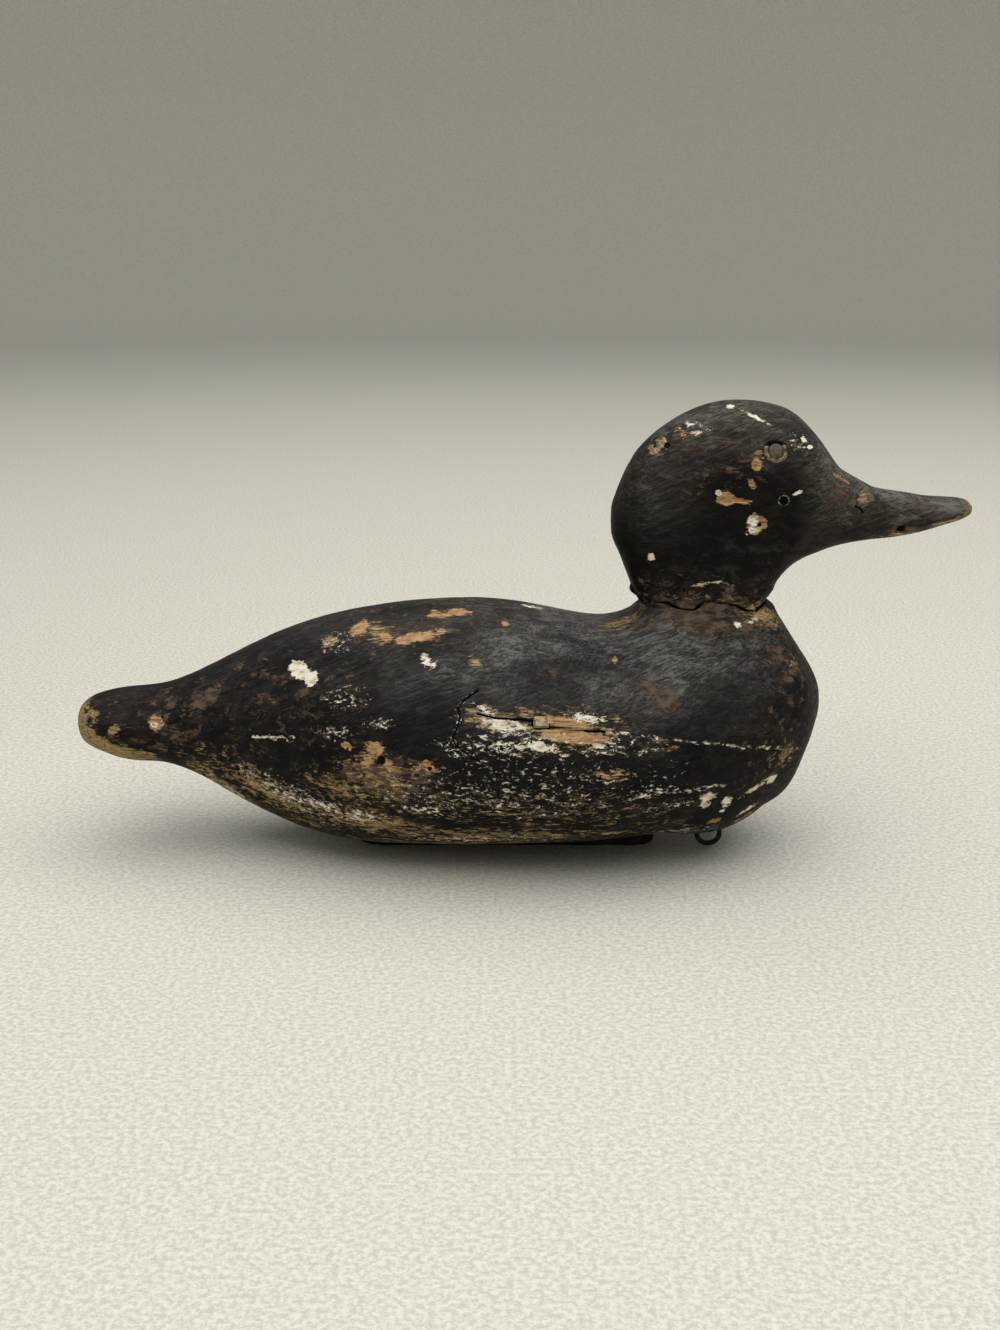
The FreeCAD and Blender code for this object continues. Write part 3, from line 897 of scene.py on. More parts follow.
@dataclass(frozen=True)
class WornPaint:
    """Matt black working paint, rubbed and chipped down to its primers and the wood.

    Fields:
        name: The material's name.
        dark: The top coat's own black, where no dusting or painted sheen lies on it.
        dust_and_sheen: The top coat where handling has left it worn and dusted, also used as a
            painted sheen.
        warm: The brown that comes through where the top coat is thin.
        thin: How much of the top coat is thin, from 0 to 1.
        seed: Which pattern.
    """

    name: str
    dark: Colour = paint(8, 7, 6)
    # painted sheen: this lighter coat also stands for light caught on the black top coat
    dust_and_sheen: Colour = paint(102, 100, 95)
    warm: Colour = paint(50, 42, 35)
    thin: float = 0.5
    seed: float = 0.0

    BROWN = paint(96, 80, 66)
    BROWN_DEEP = paint(60, 49, 40)
    CREAM = paint(240, 232, 214)
    CREAM_DIRTY = paint(182, 164, 126)
    OCHRE = paint(176, 150, 108)
    OCHRE_DEEP = paint(112, 94, 64)
    TAN = paint(192, 157, 114)
    TAN_DEEP = paint(134, 100, 66)
    DIRT = paint(58, 47, 36)
    # painted shade in the checks and hollows, with the dirt of the dark dents
    CRACK_SHADE = paint(9, 8, 7)

    # how each undercoat's patches break up: size in millimetres, which noise, its pull, soft edge
    BREAK_UP = {
        Under.BROWN: ((8.0, 5.0, 4.2), 31.0, 3.0, 0.1),
        Under.CREAM: ((3.4, 2.0, 1.7), 37.0, 3.2, 0.05),
        Under.OCHRE: ((6.4, 2.4, 1.8), 41.0, 3.3, 0.08),
        Under.TAN: ((4.6, 2.4, 2.1), 47.0, 3.4, 0.06),
    }

    def _broken(self, mix: Recipe, name: str, size: Point, shift: float, spread: float,
                edge: float) -> bpy.types.NodeSocket:
        """The mask of one undercoat: its stored strength, broken up by noise.

        Args:
            mix: The recipe.
            name: The stored number's name.
            size: Size of the break-up, in millimetres.
            shift: Which noise.
            spread: How strongly the noise moves the edge.
            edge: How soft the edge is.

        Returns:
            The mask.
        """
        cloud = mix.grain(size, detail=9.0, rough=0.76, shift=shift + self.seed, twist=0.5)
        held = mix.stored(name)
        lift = mix.times(mix.less(cloud, 0.5), spread)
        level = mix.add(held, mix.times(lift, mix.ramp(held, 0.02, 0.22)))
        return mix.ramp(level, 0.5 - edge, 0.5 + edge)

    def _top_coat(self, mix: Recipe) -> bpy.types.NodeSocket:
        """The black coat, with its dusting and painted sheen where it is worn, and brown thin
        places.

        Args:
            mix: The recipe.

        Returns:
            Its colour.
        """
        strokes = mix.grain((16.0, 1.6, 0.7), detail=6.0, rough=0.74, turn=(0.0, 22.0, 0.0),
                            shift=3.0 + self.seed, twist=0.7)
        smears = mix.grain((9.0, 4.0, 3.0), detail=7.0, rough=0.7, shift=8.0 + self.seed,
                           twist=0.8)
        drifts = mix.grain((40.0, 30.0, 22.0), detail=4.0, rough=0.6, shift=5.0 + self.seed)
        # streaks of real dusting, also used to lay the painted sheen
        dust_and_sheen_streaks = mix.add(mix.ramp(strokes, 0.44, 0.62, 0.12, 0.62),
                       mix.ramp(smears, 0.5, 0.64, 0.0, 0.5))
        # painted sheen: lighter where the stored number is high, which is on the shoulder and on
        # faces that look up
        dust_and_sheen_share = mix.times(mix.times(dust_and_sheen_streaks, mix.stored("rubbing_and_sheen")),
                         mix.ramp(drifts, 0.34, 0.6, 0.3, 1.35))
        base = mix.blend(dust_and_sheen_share, self.dark, self.dust_and_sheen)
        mottle = mix.grain((9.0, 6.0, 5.0), detail=8.0, rough=0.7, shift=11.0 + self.seed,
                           twist=0.5)
        regions = mix.grain((60.0, 45.0, 30.0), detail=3.0, rough=0.5, shift=14.0 + self.seed)
        worn_thin = mix.times(mix.ramp(mottle, 0.46, 0.66),
                              mix.ramp(regions, 0.38, 0.6, 0.15, self.thin + 0.25))
        return mix.blend(worn_thin, base, self.warm)

    def _colour(self, mix: Recipe, shows: dict[Under, bpy.types.NodeSocket],
                fine: bpy.types.NodeSocket, grime: bpy.types.NodeSocket,
                fibre: bpy.types.NodeSocket) -> bpy.types.NodeSocket:
        """The top coat, each undercoat where it shows, then the dirt, then the painted shade in the
        checks and hollows.

        Args:
            mix: The recipe.
            shows: The mask of each undercoat.
            fine: Noise of the finest specks.
            grime: Noise of the dirt.
            fibre: Noise that runs along the wood.

        Returns:
            The colour.
        """
        brown = mix.blend(mix.ramp(grime, 0.4, 0.62), self.BROWN, self.BROWN_DEEP)
        ochre = mix.blend(mix.ramp(fibre, 0.38, 0.62), self.OCHRE, self.OCHRE_DEEP)
        tan = mix.blend(mix.ramp(fibre, 0.4, 0.66), self.TAN, self.TAN_DEEP)
        cream = mix.blend(mix.ramp(grime, 0.46, 0.66), self.CREAM, self.CREAM_DIRTY)
        colour = self._top_coat(mix)
        colour = mix.blend(mix.ramp(fine, 0.6, 0.78, 0.0, 0.5), colour, self.warm)
        for coat, paint_under in ((Under.BROWN, brown), (Under.OCHRE, ochre), (Under.TAN, tan),
                                  (Under.CREAM, cream)):
            colour = mix.blend(shows[coat], colour, paint_under)
        specks = mix.grain((2.2, 1.1, 0.9), detail=8.0, rough=0.78, shift=55.0 + self.seed)
        stained = mix.larger(mix.times(shows[Under.CREAM], 0.45),
                             mix.larger(shows[Under.OCHRE], shows[Under.TAN]))
        dirt = mix.times(stained, mix.ramp(specks, 0.5, 0.62, 0.0, 0.85))
        colour = mix.blend(dirt, colour, self.DIRT)
        # painted shade: the stored check number darkens the checks and the dark dents
        return mix.blend(mix.ramp(mix.stored("check"), 0.35, 0.6), colour, self.CRACK_SHADE)

    def build(self) -> bpy.types.Material:
        """Make the material.

        Returns:
            The material.
        """
        mix = Recipe(self.name)
        fine = mix.grain((0.9, 0.6, 0.6), detail=3.0, rough=0.6, shift=2.0 + self.seed)
        grime = mix.grain((5.0, 3.0, 3.0), detail=6.0, rough=0.65, shift=20.0 + self.seed)
        fibre = mix.grain((26.0, 1.1, 0.9), detail=5.0, rough=0.65, shift=24.0 + self.seed)
        brushed = mix.grain((16.0, 1.6, 1.2), detail=4.0, rough=0.6, shift=51.0 + self.seed)
        pits = mix.ramp(mix.cells((2.6, 1.8, 1.8), shift=4.0 + self.seed), 0.05, 0.28)
        shows = {coat: self._broken(mix, coat.value, *how) for coat, how in self.BREAK_UP.items()}
        colour = self._colour(mix, shows, fine, grime, fibre)

        bare = mix.larger(shows[Under.OCHRE], shows[Under.TAN])
        lost = mix.larger(mix.larger(shows[Under.BROWN], shows[Under.CREAM]), bare)
        rough = mix.add(mix.ramp(grime, 0.35, 0.7, 0.5, 0.66), mix.times(lost, 0.18))
        relief = mix.times(mix.less(1.0, lost), 0.55)
        for pattern, share in ((fine, 0.22), (brushed, 0.34), (pits, 0.05),
                               (mix.times(fibre, bare), 0.6)):
            relief = mix.add(relief, mix.times(pattern, share))
        return mix.surface(colour, rough, relief, depth_mm=0.24, gloss=0.09)


@dataclass(frozen=True)
class Chalky:
    """Putty or filler: dry, crumbly and dirty.

    Fields:
        name: The material's name.
        clean: Its own colour.
        dirty: The grime on it.
        black: The share of old black paint left on it, from 0 to 1.
        size: Size of the mottling, in millimetres.
    """

    name: str
    clean: Colour
    dirty: Colour
    black: float = 0.0
    size: float = 2.0

    PAINT = paint(32, 29, 27)
    # painted shade in the checks, the hollows and the eye's bed
    CRACK_SHADE = paint(10, 9, 8)

    def build(self) -> bpy.types.Material:
        """Make the material.

        Returns:
            The material.
        """
        mix = Recipe(self.name)
        blotch = mix.grain((self.size * 1.6, self.size, self.size), detail=7.0, rough=0.7,
                           twist=0.6)
        crumbs = mix.grain((0.8, 0.6, 0.6), detail=4.0, rough=0.65, shift=6.0)
        skin = mix.grain((self.size * 3.0, self.size * 2.0, self.size * 2.0), detail=7.0,
                         rough=0.7, shift=9.0, twist=0.5)
        colour = mix.blend(mix.ramp(blotch, 0.4, 0.64), self.clean, self.dirty)
        if self.black > 0.0:
            edge = 0.5 + (0.5 - self.black) * 0.4
            colour = mix.blend(mix.ramp(skin, edge - 0.03, edge + 0.05), colour, self.PAINT)
        # painted shade, where the stored check number is high
        colour = mix.blend(mix.ramp(mix.stored("check"), 0.35, 0.6), colour, self.CRACK_SHADE)
        relief = mix.add(mix.times(crumbs, 0.6), mix.times(blotch, 0.4))
        return mix.surface(colour, mix.ramp(blotch, 0.3, 0.7, 0.7, 0.9), relief, depth_mm=0.3,
                           gloss=0.3)


@dataclass(frozen=True)
class Iron:
    """Old iron: brown-black scale with rust in its pits.

    Fields:
        name: The material's name.
        rust: How much of it is orange rust, from 0 to 1.
    """

    name: str
    rust: float = 0.4

    SCALE = paint(24, 20, 18)
    BROWN = paint(52, 36, 28)
    ORANGE = paint(92, 56, 34)

    def build(self) -> bpy.types.Material:
        """Make the material.

        Returns:
            The material.
        """
        mix = Recipe(self.name)
        crust = mix.grain((1.6, 1.6, 1.6), detail=8.0, rough=0.7, twist=0.3)
        bloom = mix.grain((3.5, 3.5, 3.5), detail=5.0, rough=0.65, shift=7.0)
        colour = mix.blend(mix.ramp(crust, 0.42, 0.62), self.SCALE, self.BROWN)
        share = mix.ramp(bloom, 0.66 - 0.3 * self.rust, 0.78 - 0.25 * self.rust)
        colour = mix.blend(share, colour, self.ORANGE)
        return mix.surface(colour, mix.ramp(crust, 0.3, 0.7, 0.62, 0.9), crust, depth_mm=0.25,
                           metal=0.25, gloss=0.4)


@dataclass(frozen=True)
class Lead:
    """Cast lead under old black paint, darkened further so that it also carries the shade under the
    hull, with bright rubs where the decoy has stood.

    Fields:
        name: The material's name.
    """

    name: str = "dull_lead"

    # old black paint, made darker than paint alone so that it also stands for the shade under the
    # hull
    PAINT = paint(20, 19, 18)
    PAINT_WORN = paint(46, 45, 44)
    BRIGHT = paint(120, 122, 126)

    def build(self) -> bpy.types.Material:
        """Make the material.

        Returns:
            The material.
        """
        mix = Recipe(self.name)
        tarnish = mix.grain((7.0, 5.0, 5.0), detail=7.0, rough=0.65, twist=0.4)
        scuffs = mix.grain((18.0, 0.8, 3.0), detail=5.0, rough=0.7, shift=5.0)
        colour = mix.blend(mix.ramp(tarnish, 0.36, 0.66), self.PAINT, self.PAINT_WORN)
        colour = mix.blend(mix.ramp(scuffs, 0.6, 0.72, 0.0, 0.5), colour, self.BRIGHT)
        relief = mix.add(mix.times(tarnish, 0.6), mix.times(scuffs, 0.4))
        return mix.surface(colour, mix.ramp(tarnish, 0.3, 0.7, 0.42, 0.68), relief, depth_mm=0.3,
                           metal=0.5, gloss=0.3)


@dataclass(frozen=True)
class BareWood:
    """Unpainted wood with its fibres along one axis.

    Fields:
        name: The material's name.
        early: The pale wood between the rings.
        late: The dark wood of the rings.
        fibre: Size of a fibre along each axis, in millimetres.
        dirt: How grimy it is, from 0 to 1.
    """

    name: str
    early: Colour
    late: Colour
    fibre: Point
    dirt: float = 0.2

    GRIME = paint(46, 38, 31)

    def build(self) -> bpy.types.Material:
        """Make the material.

        Returns:
            The material.
        """
        mix = Recipe(self.name)
        lines = mix.grain(self.fibre, detail=6.0, rough=0.6)
        blotch = mix.grain((6.0, 6.0, 6.0), detail=6.0, rough=0.65, shift=4.0)
        colour = mix.blend(mix.ramp(lines, 0.38, 0.62), self.early, self.late)
        grimy = mix.ramp(blotch, 0.7 - 0.4 * self.dirt, 0.85 - 0.3 * self.dirt)
        colour = mix.blend(grimy, colour, self.GRIME)
        return mix.surface(colour, mix.ramp(blotch, 0.3, 0.7, 0.6, 0.8), lines, depth_mm=0.15,
                           gloss=0.35)


@dataclass(frozen=True)
class OldGlass:
    """A glass eye clouded and scratched by years of weather.

    Fields:
        name: The material's name.
    """

    name: str = "clouded_glass"

    DEEP = paint(50, 40, 29)
    CLOUDED = paint(90, 76, 54)
    SPECK = paint(38, 31, 26)

    def build(self) -> bpy.types.Material:
        """Make the material.

        Returns:
            The material.
        """
        mix = Recipe(self.name)
        cloud = mix.grain((2.6, 2.6, 2.6), detail=6.0, rough=0.65, twist=0.4)
        specks = mix.ramp(mix.cells((0.9, 0.9, 0.9)), 0.12, 0.3)
        colour = mix.blend(mix.ramp(cloud, 0.4, 0.64), self.DEEP, self.CLOUDED)
        colour = mix.blend(mix.times(mix.less(1.0, specks), 0.5), colour, self.SPECK)
        return mix.surface(colour, mix.ramp(cloud, 0.35, 0.65, 0.3, 0.5), cloud, depth_mm=0.06,
                           gloss=0.4, coat=0.2)


@dataclass(frozen=True)
class TableTop:
    """A pale laminate with a very fine fleck.

    Fields:
        name: The material's name.
    """

    name: str = "pale_top"

    FLECK = paint(200, 197, 184)
    GROUND = paint(228, 225, 212)

    def build(self) -> bpy.types.Material:
        """Make the material. It is clear from below, so that the underside can be looked at.

        Returns:
            The material.
        """
        mix = Recipe(self.name)
        fleck = mix.grain((2.2, 2.2, 2.2), detail=3.0, rough=0.7)
        colour = mix.blend(mix.ramp(fleck, 0.36, 0.64), self.FLECK, self.GROUND)
        material = mix.surface(colour, 0.6, gloss=0.3)
        tree = material.node_tree
        shader = next(n for n in tree.nodes if n.type == "BSDF_PRINCIPLED")
        out = next(n for n in tree.nodes if n.type == "OUTPUT_MATERIAL")
        side = tree.nodes.new("ShaderNodeNewGeometry").outputs["Backfacing"]
        clear = tree.nodes.new("ShaderNodeBsdfTransparent")
        blend = tree.nodes.new("ShaderNodeMixShader")
        tree.links.new(side, blend.inputs[0])
        tree.links.new(shader.outputs[0], blend.inputs[1])
        tree.links.new(clear.outputs[0], blend.inputs[2])
        tree.links.new(blend.outputs[0], out.inputs["Surface"])
        return material


# ------------------------------------------------------------------ worn surfaces

FACET_HEIGHT, KNOCK_HEIGHT, GRAIN_HEIGHT = 0.42, 0.13, 0.07  # millimetres


def carved_relief(points: np.ndarray, seed: int) -> np.ndarray:
    """The slight unevenness that a drawknife and years of handling leave, in millimetres.

    Args:
        points: Points in millimetres, one in each row.
        seed: Which piece of wood.

    Returns:
        The height at each point.
    """
    facets = clouds(points, (34.0, 22.0, 16.0), seed) * FACET_HEIGHT
    knocks = clouds(points, (9.0, 8.0, 7.0), seed + 3) * KNOCK_HEIGHT
    raised = clouds(points, (48.0, 3.2, 2.4), seed + 5, 2) * GRAIN_HEIGHT
    return facets + knocks + raised


DRIFT_ALONG = 16.0  # how far a twin patch may lie from its own place, in millimetres
DRIFT_UP = 5.0
TWIN_REACH = (0.7, 1.25)  # the least and the most of the first one's size and strength
TWIN_STRENGTH = (0.7, 1.02)


def far_side(patches: Sequence[Patch], seed: int) -> tuple[Patch, ...]:
    """Wear for the decoy's left side: like the right side's, but never the same.

    Args:
        patches: The right side's patches.
        seed: Seed of the differences.

    Returns:
        Patches on the left side.
    """
    drift = random.Random(seed)
    twins: list[Patch] = []
    for patch in patches:
        x, y, z = patch.at
        moved = (x + drift.uniform(-DRIFT_ALONG, DRIFT_ALONG), -y,
                 z + drift.uniform(-DRIFT_UP, DRIFT_UP))
        grown = tuple(r * drift.uniform(*TWIN_REACH) for r in patch.reach)
        twins.append(replace(patch, at=moved, reach=grown, tilt=-patch.tilt,
                             strength=patch.strength * drift.uniform(*TWIN_STRENGTH)))
    return tuple(twins)


@dataclass
class Wear:
    """Everything that has happened to one painted surface.

    Fields:
        patches: Where the paint is worn.
        checks: Its cracks.
        dents: Its hollows and swellings.
        seed: Which wood.
    """

    patches: Sequence[Patch]
    checks: Sequence[Check]
    dents: Sequence[Dent]
    seed: int

    REFINE_REACH = 2.4  # how far from a check the faces are made finer, in millimetres
    LIP = 1.5  # width of a check's bare lip, in millimetres
    PAINT_THICKNESS = 0.14  # millimetres
    CHECK_SHADOW = 1.3  # where a check's dark ends, in half widths
    DENT_SHADOW = 2.4  # how dark a dent's middle is before it is clipped
    DENT_FADE = 2.2  # what it loses in each radius
    RIM_MIDDLE = 1.18  # radii
    RIM_HALF = 0.22
    GONE_FROM = 0.45  # the strength at which the paint starts to be missing
    GONE_RISE = 2.0

    def laid_on(self, mesh: bpy.types.Mesh) -> "Wear":
        """The same wear, with its checks laid on a surface.

        Args:
            mesh: The surface.

        Returns:
            The wear that fits it.
        """
        tree = tree_of(mesh)
        return replace(self, checks=tuple(check.laid_on(tree) for check in self.checks))

    def relief(self, points: np.ndarray) -> np.ndarray:
        """Height of the relief, without the checks.

        Args:
            points: Points in millimetres, one in each row.

        Returns:
            The height at each point, in millimetres.
        """
        height = carved_relief(points, self.seed)
        for dent in self.dents:
            height += dent.height(points)
        return height

    def apply(self, mesh: bpy.types.Mesh, rub_and_sheen: SurfaceRule, proud: float = 0.0,
              depth_scale: float = 1.0) -> None:
        """Carve the wear into a mesh and store what its paint needs.

        Args:
            mesh: The mesh to change.
            rub_and_sheen: Gives how worn the paint is, with its painted sheen.
            proud: Height to add all over, in millimetres.
            depth_scale: How deep the checks go, for a thin piece.
        """
        refine(mesh, self.checks, self.dents, self.REFINE_REACH)
        points = vertex_array(mesh)
        outward = normal_array(mesh)
        height = self.relief(points) + proud
        # painted shade in the checks and in the dark dents, with their dirt, stored as check
        dark = np.zeros(len(points))
        shows = {coat: np.zeros(len(points)) for coat in Under}
        for check in self.checks:
            away = check.distance(points) / check.width
            mouth = np.clip(1.0 - away ** 2, 0.0, 1.0)
            height -= check.depth * depth_scale * mouth
            shadow = np.clip(self.CHECK_SHADOW - away, 0.0, 1.0) * min(1.0, check.depth)
            dark = np.maximum(dark, shadow)
            lips = check.pale_lips * np.clip(1.0 - away * check.width / self.LIP, 0.0, 1.0)
            shows[Under.CREAM] = np.maximum(shows[Under.CREAM], lips)
        for dent in self.dents:
            if dent.dark > 0.0:
                away = dent.share(points)
                shadow = np.clip(self.DENT_SHADOW - self.DENT_FADE * away, 0.0, 1.0)
                dark = np.maximum(dark, dent.dark * shadow)
                ring = np.clip(1.0 - np.abs(away - self.RIM_MIDDLE) / self.RIM_HALF, 0.0, 1.0)
                shows[Under.OCHRE] = np.maximum(shows[Under.OCHRE], dent.rim * ring)
        for patch in self.patches:
            shows[patch.coat] = np.maximum(shows[patch.coat], patch.weight(points))
        most = np.maximum.reduce(list(shows.values()))
        gone = np.clip((most - self.GONE_FROM) * self.GONE_RISE, 0.0, 1.0)
        height -= gone * self.PAINT_THICKNESS
        move_vertices(mesh, points + outward * height[:, None])
        for coat, values in shows.items():
            store(mesh, coat.value, values)
        store(mesh, "check", dark)
        # wear from hands, with a painted sheen that is stronger on the shoulder and on faces that
        # look up
        store(mesh, "rubbing_and_sheen", rub_and_sheen(points, outward))


@dataclass(frozen=True)
class RubAndSheenSpot:
    """A place where hands have worn the paint and a painted sheen lies, in the side view.

    Fields:
        x: Its middle along the decoy, in millimetres.
        z: Its middle upwards.
        long: How far it fades along the decoy.
        high: How far it fades upwards.
    """

    x: float
    z: float
    long: float
    high: float

    def share(self, points: np.ndarray) -> np.ndarray:
        """How much wear and painted sheen each point has, 1 in the middle."""
        along, up = (points[:, 0] - self.x) / self.long, (points[:, 2] - self.z) / self.high
        return np.exp(-along ** 2 - up ** 2)


# where the wear and the painted sheen are strongest
SHOULDER = RubAndSheenSpot(45.0, 101.0, 75.0, 17.0)
BACK_OF_HEAD = RubAndSheenSpot(58.0, 172.0, 18.0, 16.0)


def body_rub_and_sheen(points: np.ndarray, outward: np.ndarray) -> np.ndarray:
    """How worn the body's paint is, with its painted sheen: most along the shoulder behind the
    neck, and more on faces that look up.

    Args:
        points: Points in millimetres, one in each row.
        outward: The outward direction at each point.

    Returns:
        The wear and painted sheen at each point.
    """
    # faces that look up carry more painted sheen
    up = np.clip(outward[:, 2], 0.0, 1.0)
    return np.clip(0.05 + 0.22 * up + 1.4 * SHOULDER.share(points) * (0.4 + up), 0.0, 1.3)


def head_rub_and_sheen(points: np.ndarray, outward: np.ndarray) -> np.ndarray:
    """How worn the head's paint is, with its painted sheen: most on the crown and on the bill, and
    more on faces that look up.

    Args:
        points: Points in millimetres, one in each row.
        outward: The outward direction at each point.

    Returns:
        The wear and painted sheen at each point.
    """
    crown_foot, crown_rise, bill_root, bill_rise = 178.0, 26.0, 124.0, 38.0
    crown = np.clip((points[:, 2] - crown_foot) / crown_rise, 0.0, 1.0)
    bill = np.clip((points[:, 0] - bill_root) / bill_rise, 0.0, 1.0)
    # faces that look up carry more painted sheen
    up = np.clip(0.4 + outward[:, 2], 0.0, 1.0)
    back = BACK_OF_HEAD.share(points)
    return np.clip(0.03 + 0.5 * back + 1.25 * crown * up + 2.7 * bill * (0.35 + up), 0.0, 1.8)


# ------------------------------------------------------------------ sub-assemblies

class Side(Enum):
    """The decoy's own left and right."""

    LEFT = "left"
    RIGHT = "right"

    @property
    def sign(self) -> float:
        """1 towards +Y and -1 towards -Y."""
        return 1.0 if self is Side.LEFT else -1.0


@dataclass
class CarvedBlock:
    """A carved and painted block of wood: the body or the head.

    Fields:
        hull: How its skin is read.
        finish: Its paint.
        wear: What has happened to it.
        rub_and_sheen: Gives how worn its paint is, with its painted sheen.
        slot: The record's material slot; not used.
    """

    hull: Hull
    finish: WornPaint
    wear: Wear
    rub_and_sheen: SurfaceRule
    slot: str

    def build(self) -> bpy.types.Object:
        """Build and dress the block, and keep its wear as it lies on the skin.

        Returns:
            The piece.
        """
        mesh = self.hull.mesh()
        self.wear = self.wear.laid_on(mesh)
        self.wear.apply(mesh, self.rub_and_sheen)
        mesh.materials.append(self.finish.build())
        return add_piece(self.hull.node + "_carved", mesh, "hull", [self.hull.node])


@dataclass
class LetIn:
    """A small piece let into a block, flush with its surface and worn along with it.

    Fields:
        node: The CAD node it is made from.
        slot: The record's material slot; not used.
        finish: Its finish.
        wear: The wear of the block it sits in, laid on that block's skin.
        rub_and_sheen: Gives how worn it is, with its painted sheen.
        proud: How far it is raised, in millimetres.
        rounding: Passes of smoothing that round its edges.
    """

    node: str
    slot: str
    finish: Finish
    wear: Wear
    rub_and_sheen: SurfaceRule
    proud: float = 0.0
    rounding: int = 4

    VOXEL = 0.4  # size of its faces, in millimetres
    CHECK_DEPTH = 0.8  # the share of a check's depth that is cut into it

    def build(self) -> bpy.types.Object:
        """Build and dress the piece.

        Returns:
            The piece.
        """
        mesh = roughened_copy(self.node, self.VOXEL, no_relief, self.rounding)
        self.wear.apply(mesh, self.rub_and_sheen, self.proud, self.CHECK_DEPTH)
        mesh.materials.append(self.finish.build())
        return add_piece(self.node + "_set", mesh, "hull", [self.node])


@dataclass
class NeckCollar:
    """The putty run round the neck, cracked along the joint and broken away at the back.

    Fields:
        finish: The paint on it.
        cracks: The joint's crack on each side, as length and height in the side view.
        outward: How far it spreads over the body, in millimetres.
        upward: How far it climbs the neck, in millimetres.
        steps: Points round it.
        low_levels: Rings of points on the body.
        high_levels: Rings of points on the neck.
        thick: How far it stands over the wood, in millimetres.
    """

    finish: WornPaint
    wear: Wear
    cracks: dict[Side, Sequence[tuple[float, float]]]
    outward: float = 10.0
    upward: float = 12.5
    steps: int = 300
    low_levels: int = 13
    high_levels: int = 16
    thick: float = 1.3

    CRACK_HALF = 0.75  # half the crack's width, in millimetres
    CRACK_DEPTH = 2.4
    FAR = 200.0  # where the lines start, clear of the decoy
    START = 0.8  # height of the neck's first ring over the joint
    INNER = 2.6  # depth of the inner face in the wood
    FEATHER = 0.45  # how far its edges sink into the wood
    SMOOTH_PASSES = 14
    SMOOTH_SHARE = 0.6
    SWELL = 1.7  # how soon it is at its full thickness
    FOLD_SIZE = (7.0, 6.0, 3.0)
    FOLD_HEIGHT = 0.5
    FOLD_SEED = 4
    FOLD_LAYERS = 3
    BROKEN_HALF = math.radians(26.0)  # half the angle of the broken place at the back
    BROKEN_DEPTH = 2.6
    BROKEN_EDGE = 1.6  # how far it spreads before it fades out, in half angles

    @staticmethod
    def _point(tree: BVHTree, start: Vector, way: Vector) -> np.ndarray:
        """Where a line first meets a block, in millimetres."""
        return np.array(tree.ray_cast(start * MM, way)[0]) / MM

    def _surface(self) -> np.ndarray:
        """Rings of points from the body up on to the neck, calmed where the two meet.

        Returns:
            The points in millimetres, as levels by steps by three.
        """
        body = tree_of(cad_mesh("body_block"))
        head = tree_of(cad_mesh("head_block"))
        low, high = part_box("neck_putty")
        middle = (low.x + high.x) / 2.0 / MM
        rings = np.zeros((self.low_levels + self.high_levels, self.steps, 3))
        for step in range(self.steps):
            angle = 2.0 * math.pi * step / self.steps
            way = Vector((math.cos(angle), math.sin(angle), 0.0))
            base = Vector((middle, 0.0, 0.0))
            for level in range(self.high_levels):
                climb = level / (self.high_levels - 1)
                z = SEAT + self.START + (self.upward - self.START) * climb
                start = base + way * self.FAR + Vector((0.0, 0.0, z))
                rings[self.low_levels + level, step] = self._point(head, start, -way)
            foot = Vector(rings[self.low_levels, step])
            for level in range(self.low_levels):
                run = self.outward * (1.0 - level / self.low_levels)
                start = foot + way * run + Vector((0.0, 0.0, self.FAR))
                rings[level, step] = self._point(body, start, Vector((0.0, 0.0, -1.0)))
        for _ in range(self.SMOOTH_PASSES):
            calm = (np.roll(rings, 1, 1) + np.roll(rings, -1, 1))[1:-1] + rings[:-2] + rings[2:]
            rings[1:-1] += self.SMOOTH_SHARE * (calm / 4.0 - rings[1:-1])
        return rings

    def _walls(self, rings: np.ndarray) -> tuple[np.ndarray, np.ndarray]:
        """The collar's outer and inner face, folded, feathered out and broken at the back.

        Args:
            rings: The wood it is pressed on.

        Returns:
            The rings of the outer face and of the inner face.
        """
        along = np.roll(rings, -1, 1) - np.roll(rings, 1, 1)
        up = np.gradient(rings, axis=0)
        outward = np.cross(along, up)
        outward /= np.linalg.norm(outward, axis=2)[..., None]
        share = np.linspace(0.0, 1.0, len(rings))
        swell = np.clip(np.sin(math.pi * share) * self.SWELL, 0.0, 1.0)[:, None]
        folds = clouds(rings.reshape(-1, 3), self.FOLD_SIZE, self.FOLD_SEED, self.FOLD_LAYERS)
        folds = folds.reshape(len(rings), -1) * self.FOLD_HEIGHT
        angle = np.linspace(0.0, 2.0 * math.pi, self.steps, endpoint=False)
        broken = self.BROKEN_EDGE - np.abs(angle - math.pi) / self.BROKEN_HALF
        sunk = self.BROKEN_DEPTH * np.clip(broken, 0.0, 1.0)[None]
        height = (self.thick + folds) * swell - self.FEATHER - sunk
        return rings + outward * height[..., None], rings - outward * (self.INNER + sunk)[..., None]

    def build(self) -> bpy.types.Object:
        """Build and dress the collar.

        Returns:
            The piece.
        """
        outer, inner = self._walls(self._surface())
        mesh = self._closed(outer, inner)
        checks = [self._crack(outer, side, line) for side, line in self.cracks.items()]
        replace(self.wear, checks=checks).laid_on(mesh).apply(mesh, body_rub_and_sheen)
        mesh.materials.append(self.finish.build())
        return add_piece("neck_putty_collar", mesh, "hull", ["neck_putty"])

